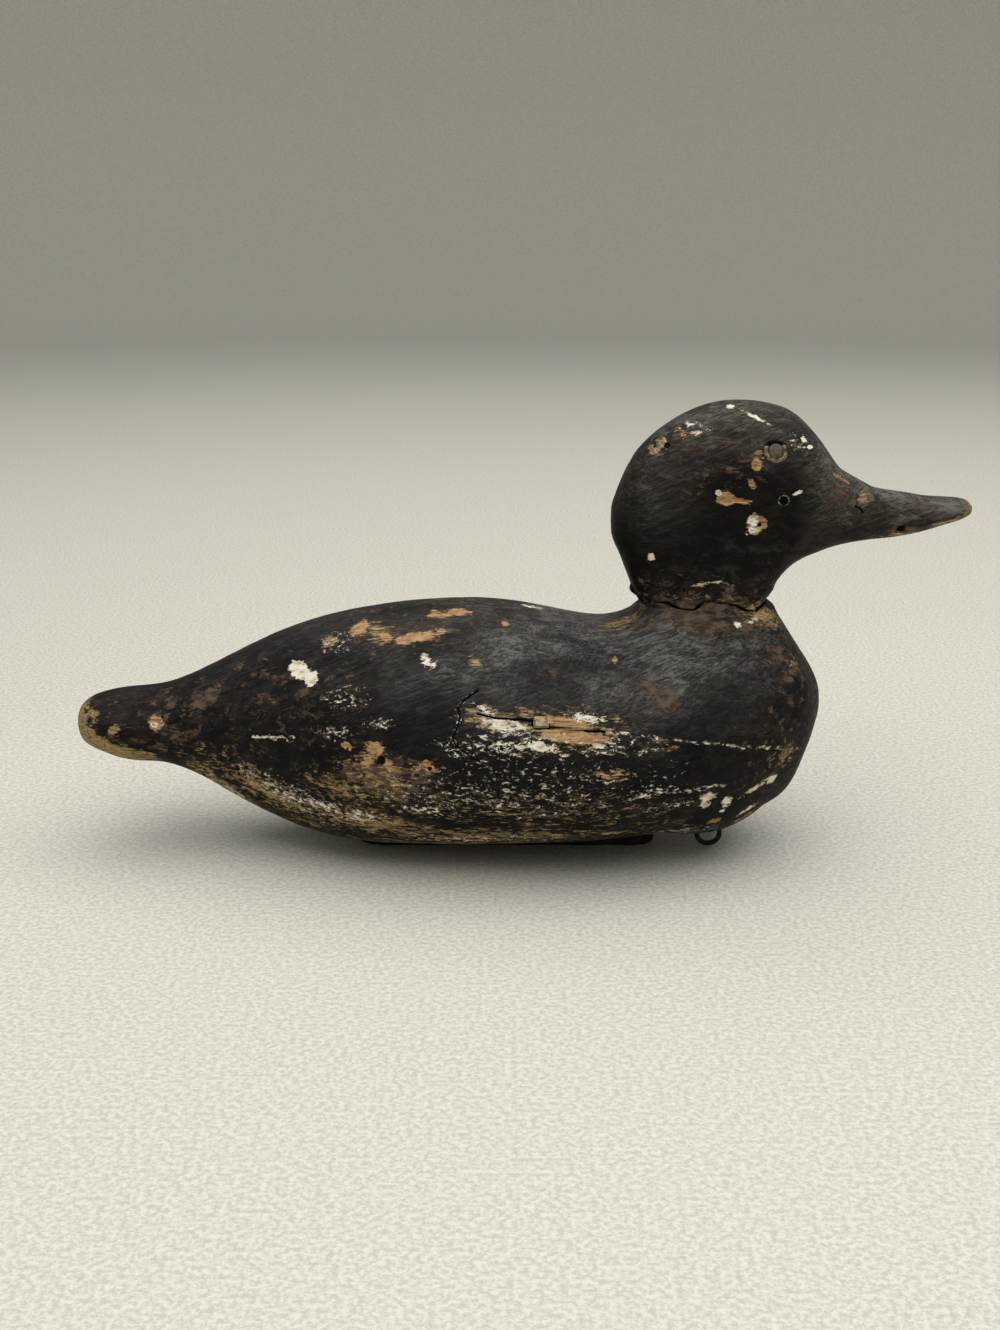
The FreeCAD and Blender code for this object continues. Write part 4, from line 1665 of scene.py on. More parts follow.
    def _crack(self, outer: np.ndarray, side: Side,
               line: Sequence[tuple[float, float]]) -> Check:
        """A crack given in the side view, laid on the collar.

        Args:
            outer: The collar's outer rings.
            side: The side it is on.
            line: The crack's corners, as length and height.

        Returns:
            The crack.
        """
        points = outer.reshape(-1, 3)
        points = points[points[:, 1] * side.sign > 0.0]
        corners = []
        for x, z in line:
            away = (points[:, 0] - x) ** 2 + (points[:, 2] - z) ** 2
            corners.append(tuple(points[away.argmin()].tolist()))
        return Check(tuple(corners), self.CRACK_HALF, self.CRACK_DEPTH)

    def _closed(self, outer: np.ndarray, inner: np.ndarray) -> bpy.types.Mesh:
        """A closed mesh from its outer and inner rings.

        Args:
            outer: The outer rings.
            inner: The inner rings.

        Returns:
            The new mesh.
        """
        loop = np.concatenate([outer, inner[::-1]])
        count = len(loop)
        low = np.arange(count)[:, None] * self.steps
        high = (np.arange(count)[:, None] + 1) % count * self.steps
        here = np.arange(self.steps)[None]
        after = (here + 1) % self.steps
        quads = np.stack([low + here, low + after, high + after, high + here], 2).reshape(-1, 4)
        return solid_mesh("collar", (loop.reshape(-1, 3) * MM).tolist(), quads.tolist())


@dataclass
class Eye:
    """A glass eye in its bed of putty, of which the upper part has fallen out.

    Fields:
        side: The side of the head it is on.
        glass: Radius of the glass, in millimetres.
        bed: Radius of the bed.
        gap_depth: How deep the bed has broken away above the eye.
    """

    side: Side
    glass: float = 3.5
    bed: float = 5.1
    gap_depth: float = 3.2

    STEPS = 64
    LOOKS_OUT = 0.93  # the way it looks, outwards and up
    LOOKS_UP = 0.36
    UNEVEN = 0.03  # millimetres
    LUMPS = 5
    LUMP_SIZE = (0.05, 0.2)  # the least and the most, in millimetres
    ONE_TURN = 6.3  # about a whole turn, in radians
    GAP_TURN = 0.1  # how far the gap is off the top, in radians
    GAP_HALF = 0.5
    GAP_EDGE = 2.2  # where the gap has closed, in halves of it
    FIRST_OUTER_RING = 2  # the rings before it are the bed's back
    # the bed is painted with shade from this depth inwards
    DARK_FROM = 0.9  # depth under the glass's front at which the bed is dark, in millimetres

    def _seat(self) -> tuple[Vector, Vector]:
        """Where the eye sits.

        Returns:
            The middle of the glass's front, in metres, and the way it looks.
        """
        points = vertex_array(cad_mesh("eye_" + self.side.value))
        way = Vector((0.0, self.LOOKS_OUT * self.side.sign, self.LOOKS_UP)).normalized()
        front = (points @ np.array(way)).max()
        middle = Vector((points.max(0) + points.min(0)) / 2.0)
        return (middle + way * (front - middle.dot(way))) * MM, way

    def _build_glass(self, front: Vector, way: Vector) -> None:
        """Turn the glass, a low dome, and dress it.

        Args:
            front: The middle of its front.
            way: The way it looks.
        """
        def uneven(angle: float, ring: int) -> tuple[float, float]:
            """A little unevenness in the glass."""
            return (self.UNEVEN * math.sin(3.0 * angle + ring),
                    self.UNEVEN * math.sin(5.0 * angle + 2.0 * ring))

        r = self.glass
        profile = [(0.0, -3.3), (r * 0.9, -3.3), (r, -2.6), (r, -0.9), (r * 0.96, -0.5),
                   (r * 0.86, -0.22), (r * 0.7, -0.06), (r * 0.45, 0.03), (r * 0.2, 0.06),
                   (0.0, 0.07)]
        side = self.side.value
        dome = lathe(profile, front, way, self.STEPS, uneven)
        dome.materials.append(OldGlass("glass_" + side).build())
        add_piece("eye_glass_" + side, dome, "hull", ["eye_" + side])

    def _build_bed(self, front: Vector, way: Vector) -> None:
        """Turn the ring of putty, with its lumps and its gap, and dress it.

        Args:
            front: The middle of the glass's front.
            way: The way the eye looks.
        """
        side = self.side.value
        drift = random.Random(side)
        lumps = [(drift.uniform(0.0, self.ONE_TURN), drift.uniform(*self.LUMP_SIZE))
                 for _ in range(self.LUMPS)]
        over_eye = -self.side.sign * math.pi / 2.0

        def broken(angle: float, ring: int) -> tuple[float, float]:
            """The putty's lumps, and the gap over the eye.

            Args:
                angle: Angle round the eye.
                ring: The ring's number.

            Returns:
                What to add to the radius and to the height.
            """
            lump = sum(size * math.sin((n + 2) * angle + turn)
                       for n, (turn, size) in enumerate(lumps))
            away = abs(math.remainder(angle - over_eye, 2.0 * math.pi) - self.GAP_TURN)
            gap = max(0.0, min(1.0, self.GAP_EDGE - away / self.GAP_HALF))
            outer = ring >= self.FIRST_OUTER_RING
            return lump * 0.5, (lump - self.gap_depth * gap) if outer else 0.0

        r, b = self.glass, self.bed
        section = [(r + 0.02, -3.7), (b, -3.7), (b + 0.15, -1.2), (b - 0.1, -0.7), (b - 0.6, -0.4),
                   (r + 0.7, -0.1), (r + 0.3, 0.0), (r + 0.05, -0.3)]
        ring = lathe(section, front, way, self.STEPS, broken)
        depth = (np.array(front) / MM - vertex_array(ring)) @ np.array(way)
        # painted shade, darker deeper under the glass's front
        store(ring, "check", np.clip(depth - self.DARK_FROM, 0.0, 1.0))
        putty = Chalky("eye_bed_" + side, paint(150, 134, 100), paint(70, 60, 45), black=0.42,
                       size=1.3)
        ring.materials.append(putty.build())
        add_piece("eye_bed_" + side, ring, "hull", ["eye_putty_" + side])

    def build(self) -> None:
        """Build the glass and its bed."""
        front, way = self._seat()
        self._build_glass(front, way)
        self._build_bed(front, way)


@dataclass
class Ballast:
    """The lead under the hull.

    Fields:
        voxel: Size of its faces, in millimetres.
        casting: Height of its casting ripples.
    """

    voxel: float = 1.1
    casting: float = 0.22

    def relief(self, points: np.ndarray, _: np.ndarray) -> np.ndarray:
        """The lead's casting ripples and knocks, in millimetres."""
        ripples = clouds(points, (16.0, 9.0, 8.0), 21) * self.casting
        return ripples + clouds(points, (4.0, 3.0, 3.0), 22) * self.casting * 0.5

    def build(self) -> None:
        """Build the lead; its nails keep their CAD shape."""
        mesh = roughened_copy("ballast_weight", self.voxel, self.relief)
        mesh.materials.append(Lead().build())
        add_piece("ballast_lead", mesh, "hull", ["ballast_weight"])


@dataclass
class LineFitting:
    """The iron staple and its ring.

    Fields:
        voxel: Size of their faces, in millimetres.
        pitting: Height of their scale and pits.
    """

    voxel: float = 0.32
    pitting: float = 0.13

    def relief(self, points: np.ndarray, _: np.ndarray) -> np.ndarray:
        """Rust scale and pits, in millimetres."""
        return clouds(points, (2.4, 2.4, 2.4), 31, 3) * self.pitting

    def build(self) -> None:
        """Build the staple and the ring."""
        finish = Iron("rusty_iron", 0.45).build()
        for node, body in (("line_staple", "hull"), ("line_ring", "ring")):
            mesh = roughened_copy(node, self.voxel, self.relief)
            mesh.materials.append(finish)
            add_piece(node + "_rusted", mesh, body, [node])


@dataclass
class Carried:
    """CAD nodes whose shape is kept as it is, and that only need a finish.

    Fields:
        nodes: Their names.
        finish: Their material.
    """

    nodes: Sequence[str]
    finish: bpy.types.Material

    def dress(self) -> None:
        """Give each node the finish."""
        for node in self.nodes:
            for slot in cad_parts[node].material_slots:
                slot.material = self.finish
            LOG.info("%s: kept, new finish", node)


# ------------------------------------------------------------------ where the decoy is worn

CREAM, TAN, OCHRE, BROWN = Under.CREAM, Under.TAN, Under.OCHRE, Under.BROWN
EYE_X, EYE_Y, EYE_Z = 114.1, 21.5, 190.9  # the middle of the left eye, in millimetres

# the big chip on the flank and the flecks round it
FLANK_CHIPS = (
    Patch(CREAM, (-99, -35, 93.6), (5.5, 12, 3.3), 1.0, -16, 1.6),
    Patch(CREAM, (-93, -38, 91), (3.4, 9, 3.4), 1.0, 0, 1.6),
    Patch(OCHRE, (-86, -26, 105), (4, 6, 2.6), 0.7, 10, 1.0),
    Patch(CREAM, (-83, -28, 105), (9, 10, 4), 0.42),
    Patch(CREAM, (-76, -53, 86), (12, 12, 6), 0.38),
    Patch(CREAM, (-81, -58, 71), (10, 10, 3), 0.47),
    Patch(CREAM, (-61, -63, 77), (7, 8, 2.2), 0.52),
)

# bare places along the back
BACK = (
    Patch(TAN, (-72, -22, 110), (5, 9, 2.2), 0.9, 24, 1.1),
    Patch(OCHRE, (-64, -27, 109.5), (9, 9, 4.2), 0.66, -10),
    Patch(TAN, (-60, -31, 108.5), (3.4, 8, 1.6), 0.9, -20, 1.3),
    Patch(TAN, (-45, -35, 109.3), (8.6, 7, 1.7), 1.0, 5, 1.5),
    Patch(TAN, (-52, -34, 107.6), (4, 7, 1.2), 0.9, -8, 1.4),
    Patch(BROWN, (-52, -33, 107), (26, 16, 8), 0.55),
    Patch(CREAM, (-41, -48, 102), (2.2, 6, 3.6), 0.7, 40, 0.9),
    Patch(CREAM, (-38, -50, 100), (1.2, 6, 2.6), 0.66, -40, 0.9),
    Patch(TAN, (-36, -16, 115), (6, 6, 1.2), 0.8, 0, 1.0),
    Patch(TAN, (-27, -15, 116), (6, 6, 1.2), 0.74, 0, 1.0),
    Patch(TAN, (-35, -33, 111), (4, 6, 1.0), 0.8, 0, 1.0),
    Patch(BROWN, (-35, -24, 113), (20, 16, 5), 0.55),
    Patch(CREAM, (7, 7, 112.6), (5, 4, 1.0), 0.8, -14, 1.0),
    Patch(TAN, (-6, -25, 113), (1.6, 4, 1.2), 0.9, 0, 1.5),
    Patch(OCHRE, (-19, -50, 101.6), (2.4, 6, 4.0), 0.72, 40, 0.8),
)

# the tail
TAIL = (
    Patch(OCHRE, (-206, -4, 61), (8, 24, 9.0), 1.0, 0, 1.2),
    Patch(OCHRE, (-198, -18, 54), (13, 10, 7.6), 1.0, -20, 1.5),
    Patch(OCHRE, (-184, -24, 49), (16, 9, 5.0), 1.0, -8, 1.4),
    Patch(OCHRE, (-197, -14, 66), (3.4, 6, 4.0), 0.8, 40, 1.0),
    Patch(OCHRE, (-187, -23, 62), (3.4, 5, 2.2), 0.85, 40, 1.2),
    Patch(TAN, (-167, -25, 66), (3.6, 5, 3.4), 0.9, 0, 1.3),
    Patch(CREAM, (-168, -26, 65), (1.8, 4, 2.0), 0.7, 0, 1.3),
    Patch(BROWN, (-160, -22, 64), (52, 24, 24), 0.46),
    Patch(BROWN, (-143, -23, 77), (11, 12, 4.5), 0.74, 34, 0.9),
)

# the flank between tail and middle
REAR_FLANK = (
    Patch(BROWN, (-104, -40, 82), (56, 30, 26), 0.42),
    Patch(CREAM, (-112, -44, 64.5), (14, 10, 1.0), 0.46),
)

# the low flank: reddish tan over a mottled wash
LOW_FLANK = (
    Patch(TAN, (-76, -61, 66), (2.6, 6, 2.0), 0.8, 0, 1.2),
    Patch(TAN, (-63, -65, 66.6), (4.6, 7, 3.0), 0.9, 0, 1.2),
    Patch(TAN, (-66, -66, 61), (4.4, 7, 2.6), 0.8, 40, 1.0),
    Patch(TAN, (-57, -68, 60), (4.0, 7, 2.2), 0.76, -40, 1.0),
    Patch(TAN, (-40, -71, 60), (7, 8, 2.8), 0.66, 0, 0.8),
    Patch(OCHRE, (-62, -63, 53), (17, 20, 10), 0.64),
    Patch(BROWN, (-60, -64, 52), (26, 20, 12), 0.8),
    Patch(OCHRE, (-76, -58, 45), (24, 20, 9), 0.52),
)

# streaks along the bilge
BILGE = (
    Patch(OCHRE, (-112, -40, 36), (34, 20, 9), 0.66, -26),
    Patch(CREAM, (-106, -43, 38), (22, 20, 6), 0.47, -24),
    Patch(CREAM, (-90, -48, 35), (16, 18, 4), 0.52, -16),
    Patch(CREAM, (-72, -53, 32), (14, 18, 3.4), 0.55, -6),
    Patch(OCHRE, (-66, -54, 29), (34, 22, 8), 0.68, -6),
    Patch(CREAM, (-40, -60, 38.6), (14, 18, 2.2), 0.6, 0),
    Patch(OCHRE, (-135, -27, 34), (20, 12, 6), 0.72, -38),
    Patch(CREAM, (-133, -28, 32), (18, 12, 3), 0.48, -38),
    Patch(OCHRE, (-10, -62, 24), (64, 22, 6), 0.58, 3),
    Patch(CREAM, (-24, -60, 21), (40, 22, 3), 0.46, 2),
    Patch(OCHRE, (10, -70, 38), (60, 24, 12), 0.38),
    Patch(CREAM, (-10, -70, 48), (60, 24, 12), 0.36),
    Patch(CREAM, (14, -72, 56), (70, 24, 14), 0.29),
    Patch(OCHRE, (0, -50, 15), (120, 16, 3.4), 0.62),
)

# primers on the shoulder
SHOULDER_PRIMERS = (
    Patch(BROWN, (65, -57, 86), (5.0, 8, 4.6), 1.0, -24, 1.3),
    Patch(BROWN, (57, -55, 90.6), (6, 7, 2.6), 0.95, -24, 1.2),
    Patch(BROWN, (15, -54, 98), (2.2, 4, 2.6), 0.9, 30, 1.2),
    Patch(OCHRE, (43, -41, 100), (1.4, 4, 1.4), 0.9, 0, 1.5),
)

# the foot of the neck
NECK_FOOT = (
    Patch(OCHRE, (48, -9, 111), (9, 9, 3.2), 0.66, 24, 0.7),
    Patch(TAN, (54, -13, 115), (5, 8, 1.8), 0.74, 34, 0.8),
    Patch(BROWN, (50, -10, 110), (18, 16, 8), 0.66),
    Patch(OCHRE, (112, -18, 115), (12, 10, 4.0), 0.7, -24, 0.7),
    Patch(TAN, (110, -19, 116), (7, 8, 1.8), 0.66, -20, 0.7),
    Patch(CREAM, (99, -26, 112.6), (2.0, 6, 1.2), 0.72, -20, 0.9),
    Patch(CREAM, (105, -23, 113.4), (4, 6, 1.2), 0.56, 10, 0.7),
    Patch(BROWN, (86, -26, 114), (40, 12, 8), 0.72),
    Patch(BROWN, (84, -26, 121), (36, 12, 6), 0.82),
    Patch(OCHRE, (80, -28, 124), (26, 8, 2.0), 0.46),
    Patch(BROWN, (120, -29, 99), (13, 16, 20), 0.66),
    Patch(OCHRE, (125, -31, 96), (4, 8, 4), 0.56),
)

# the side check and its old repair
SIDE_CHECK = (
    Patch(OCHRE, (-12, -69, 82), (14, 8, 4.0), 0.72, -6, 0.7),
    Patch(CREAM, (-14, -68, 84), (9, 8, 3.0), 0.56, -40, 0.7),
    Patch(CREAM, (-6, -71, 79), (13, 8, 3.0), 0.72, -8, 0.8),
    Patch(OCHRE, (5, -70, 84), (7, 8, 2.4), 0.66),
    Patch(TAN, (21, -71, 80), (11.5, 8, 2.0), 1.0, -10, 1.4),
    Patch(CREAM, (30, -70, 81.4), (9, 8, 2.0), 0.66, -6, 0.8),
    Patch(TAN, (24, -73, 74.6), (14.5, 8, 3.0), 1.0, -5, 1.6),
    Patch(OCHRE, (22, -72, 77), (26, 12, 8), 0.56),
    Patch(CREAM, (8, -76, 71), (6, 8, 2.4), 0.86, -10, 1.0),
    Patch(CREAM, (-3, -76, 71), (30, 10, 5), 0.5),
    Patch(CREAM, (-30, -73, 69), (10, 8, 2), 0.46, -30),
    Patch(CREAM, (40, -73, 70), (22, 10, 4), 0.44),
    Patch(OCHRE, (60, -69, 69), (9, 8, 3), 0.52),
)

# flecks on the breast quarter
BREAST_QUARTER = (
    Patch(TAN, (40, -77, 58), (8, 8, 2.4), 0.58),
    Patch(CREAM, (58, -71, 48), (16, 10, 2.4), 0.50, 6),
    Patch(CREAM, (79, -65, 48), (18, 12, 1.4), 0.52, 2),
    Patch(CREAM, (84, -61, 43), (3.4, 6, 2.4), 0.95, 0, 1.1),
    Patch(CREAM, (83, -61, 38), (3.0, 6, 2.2), 0.8, 0, 0.9),
    Patch(CREAM, (93, -54, 39), (2.4, 6, 3.0), 0.85, -20, 1.0),
    Patch(CREAM, (91, -56, 34), (1.8, 4, 1.2), 1.0, 0, 1.6),
    Patch(CREAM, (68, -67, 40), (11, 8, 2.4), 0.54, 8),
    Patch(CREAM, (107, -49, 43), (9, 8, 1.5), 0.66, 24, 0.8),
    Patch(CREAM, (115, -46, 45), (2.8, 6, 2.2), 0.9, 40, 1.1),
    Patch(OCHRE, (88, -51, 29), (2.4, 5, 1.2), 1.0, 8, 1.8),
    Patch(CREAM, (103, -45, 32), (6, 6, 1.2), 0.66, 16, 0.9),
    Patch(TAN, (104, -43, 28), (8, 6, 1.2), 0.6, 20, 0.8),
    Patch(CREAM, (72, -55, 22), (22, 14, 3), 0.48, 10),
    Patch(TAN, (41, -62, 25.6), (6, 8, 1.2), 0.85, 2, 1.0),
    Patch(OCHRE, (121, -43, 56), (8, 10, 5), 0.56),
    Patch(BROWN, (118, -45, 60), (26, 20, 26), 0.42),
)

# along the middle, from tail to breast
BODY_MIDDLE = (
    Patch(OCHRE, (-60, 0, 8), (90, 60, 12), 0.5),
    Patch(OCHRE, (60, 0, 12), (60, 50, 10), 0.45),
    Patch(BROWN, (-20, 0, 116), (90, 40, 14), 0.4),
    Patch(BROWN, (136, 0, 80), (12, 30, 30), 0.48),
    Patch(OCHRE, (84, 0, 117), (30, 12, 3), 0.5),
    Patch(CREAM, (136, 4, 62), (8, 16, 8), 0.4),
)

# the body's drying checks, of which the side's comes first
BODY_CHECKS = (
    Check(((-18, -69, 83.4), (-11, -71, 82.6), (0, -72, 81.8), (6.4, -72, 81.4)), 0.6, 1.8),
    Check(((6.4, -72, 81.4), (5.6, -72, 79.4), (7.2, -72, 77.9), (18, -72, 77.7),
           (37, -71, 76.0)), 0.75, 2.2),
    Check(((37, -71, 76.0), (61, -69, 72.5), (79, -66, 69.5), (105, -56, 64),
           (119, -45, 60)), 0.32, 0.5, 0.52),
    Check(((-18, -63, 92.4), (-23, -65, 89.4), (-26.6, -67, 85.6), (-25.6, -69, 81.6),
           (-27, -72, 77.6), (-29, -73, 74), (-27.6, -74, 70.6), (-22, -75, 67),
           (-17, -76, 64)), 0.55, 1.2, 0.5),
    Check(((-120, -40, 64), (-101, -49, 66.4)), 0.35, 0.3, 0.62),
    Check(((-60, 62, 84), (-20, 70, 80), (26, 72, 77), (60, 68, 72)), 0.5, 1.0),
    Check(((-205, 3, 62), (-196, 6, 71), (-180, 8, 75)), 0.45, 0.8),
)

# hollows and swellings of the body
BODY_DENTS = (
    Dent((-60, -68, 70), 22.0, -0.7),
    Dent((-15, -77, 70), 24.0, -0.8),
    Dent((-60, -66, 61.6), 2.4, 1.2, 2.0, 0.8),
    Dent((-39, -72, 59.4), 1.4, 0.8, 2.0, 0.7),
    Dent((-166, -25, 67), 3.4, 0.7),
    Dent((66, -59, 85), 9.0, 0.3),
    Dent((-186, -24, 58), 7.0, 0.5),
    Dent((30, 74, 62), 12.0, 0.6),
    Dent((-110, 40, 70), 9.0, 0.5),
    Dent((55, 0, SEAT), 7.0, 0.9),
    Dent((92, -40, 22), 24.0, -2.6),
)

# chips on the cheek
CHEEK = (
    Patch(TAN, (92.6, -24.5, 169.8), (4.6, 6, 2.9), 1.0, -6, 1.8),
    Patch(TAN, (99, -25, 169), (4.8, 6, 1.1), 1.0, -10, 1.6),
    Patch(CREAM, (89, -24, 172.5), (1.5, 3, 1.3), 1.0, 0, 2.0),
    Patch(TAN, (106.4, -25, 158.5), (4.0, 6, 4.4), 1.0, 10, 1.2),
    Patch(CREAM, (104.6, -25, 160), (2.6, 5, 2.6), 0.86, 10, 1.0),
    Patch(CREAM, (104.6, -25, 155.4), (3.0, 5, 1.5), 0.85, 10, 1.0),
    Patch(TAN, (105.6, -22, 184.6), (2.6, 5, 2.8), 1.0, 0, 1.4),
    Patch(OCHRE, (106.4, -21, 190), (2.6, 5, 2.4), 0.66),
    Patch(OCHRE, (103.4, -24, 176.6), (1.5, 4, 3.0), 0.95, 32, 1.2),
    Patch(CREAM, (124, -23, 172.4), (2.4, 4, 0.8), 0.9, 20, 1.6),
    Patch(CREAM, (60, -20, 143), (1.7, 4, 2.0), 0.95, 0, 1.4),
)

# flecks on the crown
CROWN = (
    Patch(CREAM, (127, -17, 195.4), (1.3, 3, 1.4), 1.0, 0, 1.8),
    Patch(CREAM, (129.6, -16, 192), (1.6, 3, 1.0), 1.0, 0, 1.8),
    Patch(CREAM, (125, -17, 194), (5, 5, 5), 0.42),
    Patch(CREAM, (106, -12, 204.6), (9, 5, 0.8), 0.74, -26, 1.0),
    Patch(CREAM, (95, -6, 208.6), (2.0, 4, 1.0), 0.8, 0, 1.4),
    Patch(CREAM, (79, -12, 200.6), (6, 6, 3.4), 0.52),
    Patch(TAN, (73, -13, 198), (4, 5, 3), 0.6),
    Patch(OCHRE, (61.6, -10, 189.6), (3.4, 6, 2.6), 0.95, -20, 1.2),
    Patch(BROWN, (88, -20, 190), (40, 20, 26), 0.36),
    Patch(BROWN, (84, -22, 126), (44, 14, 8), 0.6),
)

# the brow and the bill
BROW_AND_BILL = (
    Patch(BROWN, (148, -12, 170), (16, 12, 12), 0.62),
    Patch(OCHRE, (156, -12, 168), (5, 6, 3), 0.52),
    Patch(OCHRE, (146, -13, 177), (7, 5, 0.8), 0.72, -28, 0.8),
    Patch(BROWN, (176, -12, 153), (9, 6, 2.6), 0.8, 0, 0.8),
    Patch(BROWN, (186, -8, 165), (16, 8, 3), 0.5),
    Patch(TAN, (174, -11, 150.8), (9, 5, 1.0), 0.7, 4),
    Patch(OCHRE, (197, -11, 157.4), (12, 6, 1.0), 0.84, 14, 0.8),
    Patch(OCHRE, (203, -9, 160), (5, 6, 3.4), 0.7),
)

# paint edge where the putty used to reach
PUTTY_EDGE = (
    Patch(TAN, (80.5, -22, 129.4), (3.6, 5, 1.2), 0.9, 16, 1.2),
    Patch(CREAM, (88, -23, 131.4), (3.6, 5, 0.5), 0.7, 8, 1.0),
)

# along the middle, from crown to bill
HEAD_MIDDLE = (
    Patch(OCHRE, (206.4, 0, 162), (3.4, 12, 4), 0.9, 0, 0.9),
    Patch(CREAM, (206.6, -3, 163.4), (1.6, 3, 1.4), 0.9, 0, 1.4),
    Patch(BROWN, (95, 0, 208), (34, 18, 8), 0.4),
)

# the head's checks: at the bill's root and over the putty
HEAD_CHECKS = (
    Check(((158, -6, 173.6), (154.6, -10, 171.4), (152.4, -13, 168), (152.6, -14, 164.5)),
          0.8, 0.5),
    Check(((151.6, -14, 164.6), (154.4, -13.5, 163.2), (155.4, -13.5, 161.8)), 0.5, 1.1),
    Check(((80, -22, 130.4), (84, -23, 131), (91, -24, 131.2), (97, -24, 129.4),
           (101, -23, 127)), 0.35, 0.35, 0.55),
)

# hollows and swellings of the head, without the eye sockets
HEAD_DENTS = (
    Dent((118, -24, 169), 2.0, 3.0, 5.0, 1.0, 0.75),
    Dent((66.4, -12, 191.6), 2.0, 2.4, 3.0, 1.0),
    Dent((61.6, -9, 189.6), 5.0, 0.7),
    Dent((107.6, -25, 158.2), 1.2, 1.4, 3.0, 0.95),
    Dent((174, -12.5, 153.2), 2.6, 1.6, 2.0, 0.9),
    Dent((79, -11, 200.5), 2.6, 0.5),
    Dent((154, 0, 174), 9.0, -1.0),
    Dent((157, -12, 168.6), 5.0, -0.7),
    Dent((157, 12, 168.6), 5.0, -0.7),
    Dent((118, 24.5, 172), 3.0, 0.6),
    Dent((54.5, 0, SEAT), 7.5, 2.2),
    Dent((53.0, -3, 122.6), 4.2, -2.2),
    Dent((52.4, -3, SEAT + 1.0), 5.0, 3.4, 3.0),
)

# the crack in the putty on each side, as length and height in the side view
NECK_CRACK = ((62, 122), (68, 121), (74, 119.2), (79, 118.4), (82, 120), (84, 122.6), (88, 122.4),
              (92, 122), (99, 120.4), (104, 117.4), (108, 117), (112, 119), (116, 120))
NECK_CRACK_FAR = ((108, 118.4), (96, 120.6), (84, 119), (70, 121.6), (58, 120))


def body_wear() -> Wear:
    """The body's wear: the tail, the back, the side check and its repair, the hull, the breast.

    Returns:
        The wear.
    """
    near = (FLANK_CHIPS + BACK + TAIL + REAR_FLANK + LOW_FLANK + BILGE + SHOULDER_PRIMERS
            + NECK_FOOT + SIDE_CHECK + BREAST_QUARTER)
    patches = near + BODY_MIDDLE + far_side(near, seed=5)
    return Wear(patches, BODY_CHECKS, BODY_DENTS, seed=1)


def head_wear() -> Wear:
    """The head's wear: chips on the cheek, the crown, the eyes' sockets, the bill.

    Returns:
        The wear.
    """
    near = CHEEK + CROWN + BROW_AND_BILL + PUTTY_EDGE
    patches = near + HEAD_MIDDLE + far_side(near, seed=9)
    sockets = tuple(Dent((EYE_X, EYE_Y * side.sign, EYE_Z), 5.3, 3.2, 10.0, 0.45)
                    for side in (Side.RIGHT, Side.LEFT))
    return Wear(patches, HEAD_CHECKS, HEAD_DENTS + sockets, seed=2)


@dataclass
class Stage:
    """The pale floor, the soft light and the camera.

    Fields:
        lens_mm: Focal length of the camera.
        sensor_mm: Width of its sensor.
        camera_at: Where it stands, in metres.
        look_down: How far it looks down, in degrees.
        floor_radius: Radius of the flat part of the floor, in metres.
        floor_rise: Height of the floor's rim.
        room_colour: Colour of the light all round.
        room_strength: Its strength.
    """

    lens_mm: float = 46.0
    sensor_mm: float = 36.0
    camera_at: Point = (-0.00835, -0.773, 0.2994)
    look_down: float = 15.4
    floor_radius: float = 3.0
    floor_rise: float = 0.9
    room_colour: Colour = (1.0, 0.98, 0.94)
    room_strength: float = 0.27

    FLAT_SHARES = (0.1, 0.4, 0.7, 1.0)
    RIM_STEPS = 8
    FLOOR_STEPS = 96

    def build(self) -> None:
        """Set the stage."""
        self._floor()
        self._light("ceiling", (0.2, -0.15, 1.6), (0.05, -0.1, 0.05), (3.4, 2.8), 46.0)
        self._light("front", (-0.5, -1.4, 1.2), (0.0, 0.0, 0.1), (1.4, 1.0), 3.5)
        world = bpy.data.worlds.new("soft_room")
        world.use_nodes = True
        background = world.node_tree.nodes["Background"]
        background.inputs["Color"].default_value = (*self.room_colour, 1.0)
        background.inputs["Strength"].default_value = self.room_strength
        bpy.context.scene.world = world
        camera = bpy.data.cameras.new("camera")
        camera.lens = self.lens_mm
        camera.sensor_width = self.sensor_mm
        eye = bpy.data.objects.new("camera", camera)
        eye.location = self.camera_at
        eye.rotation_euler = (math.radians(90.0 - self.look_down), 0.0, 0.0)
        bpy.context.scene.collection.objects.link(eye)
        bpy.context.scene.camera = eye
        bpy.context.scene.view_settings.view_transform = "Standard"

    def _floor(self) -> None:
        """A round floor whose rim sweeps up, so that no edge shows."""
        flat = self.floor_radius / MM
        rise = self.floor_rise / MM
        profile = [(0.0, 0.0)] + [(flat * share, 0.0) for share in self.FLAT_SHARES]
        for step in range(1, self.RIM_STEPS + 1):
            angle = math.radians(90.0) * step / self.RIM_STEPS
            profile.append((flat + rise * math.sin(angle), rise * (1.0 - math.cos(angle))))
        mesh = lathe(profile, Vector((0.0, 0.0, 0.0)), Vector((0.0, 0.0, 1.0)), self.FLOOR_STEPS)
        mesh.name = "floor"
        if mesh.polygons[0].normal.z < 0.0:
            mesh.flip_normals()
        mesh.shade_smooth()
        mesh.materials.append(TableTop().build())
        floor = bpy.data.objects.new("floor", mesh)
        bpy.context.scene.collection.objects.link(floor)

    def _light(self, name: str, at: Point, aim: Point, size: tuple[float, float],
               power: float) -> None:
        """One soft rectangular light.

        Args:
            name: Its name.
            at: Where it is.
            aim: What it looks at.
            size: Its length and width.
            power: Its power in watts.
        """
        lamp = bpy.data.lights.new(name, "AREA")
        lamp.shape = "RECTANGLE"
        lamp.size, lamp.size_y = size
        lamp.energy = power
        holder = bpy.data.objects.new(name, lamp)
        holder.location = at
        holder.rotation_euler = (Vector(aim) - Vector(at)).to_track_quat("-Z", "Y").to_euler()
        bpy.context.scene.collection.objects.link(holder)


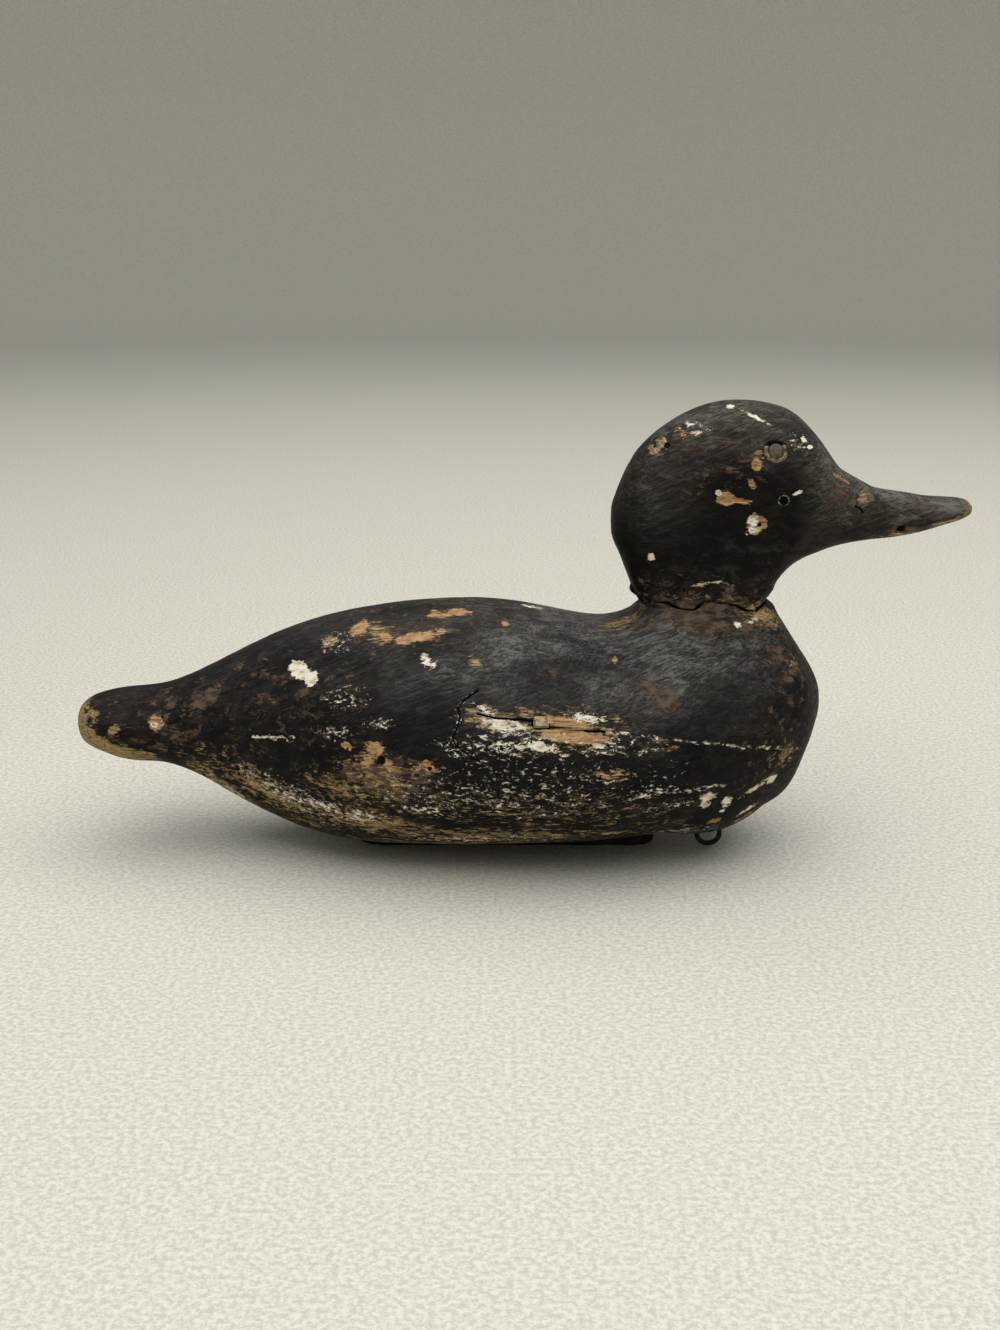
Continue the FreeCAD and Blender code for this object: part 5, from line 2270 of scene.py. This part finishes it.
def main() -> None:
    """Build and dress the decoy."""
    body, head = body_wear(), head_wear()
    black = WornPaint("worn_body_paint")
    brownish = WornPaint("worn_head_paint", dark=paint(9, 8, 7), dust_and_sheen=paint(100, 95, 87),
                         warm=paint(54, 46, 38), thin=0.4, seed=60.0)
    nails = [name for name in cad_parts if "nail" in name or name == "head_spike"]
    in_body = ["neck_dowel", "check_wedge", "check_filler", "line_staple"] + nails
    in_head = ["neck_dowel", "spike_putty"] + nails
    in_head += [f"eye_{part}_{side.value}" for part in ("putty", "wire") for side in Side]
    hull = CarvedBlock(Hull("body_block", rings=262, around=312, plugs=in_body, seat=SEAT,
                            seat_above=True), black, body, body_rub_and_sheen, "body_paint")
    hull.build()
    skull = CarvedBlock(Hull("head_block", rings=236, around=264, plugs=in_head, seat=SEAT,
                             seat_above=False), brownish, head, head_rub_and_sheen, "head_paint")
    skull.build()
    NeckCollar(replace(black, name="painted_putty", thin=1.0), body,
               {Side.RIGHT: NECK_CRACK, Side.LEFT: NECK_CRACK_FAR}).build()
    LetIn("check_wedge", "wedge_wood",
          Chalky("key_wood", paint(184, 166, 128), paint(120, 102, 72), black=0.2),
          hull.wear, body_rub_and_sheen, proud=0.15, rounding=22).build()
    LetIn("check_filler", "hole_filler", replace(black, name="worn_filler"),
          hull.wear, body_rub_and_sheen, proud=-0.22).build()
    LetIn("spike_putty", "hole_filler",
          Chalky("spike_filler", paint(176, 160, 122), paint(104, 90, 66), black=0.45),
          skull.wear, head_rub_and_sheen, rounding=8).build()
    for side in Side:
        Eye(side).build()
    Ballast().build()
    LineFitting().build()
    Carried(nails, Iron("nail_iron", 0.3).build()).dress()
    Carried(["eye_wire_left", "eye_wire_right"], Iron("wire_iron", 0.6).build()).dress()
    dowel = BareWood("dowel_wood", paint(196, 164, 118), paint(158, 122, 80), (1.0, 1.0, 16.0))
    Carried(["neck_dowel"], dowel.build()).dress()
    Stage().build()


if __name__ == "__main__":
    logging.basicConfig(level=logging.INFO, format="%(message)s")
    main()
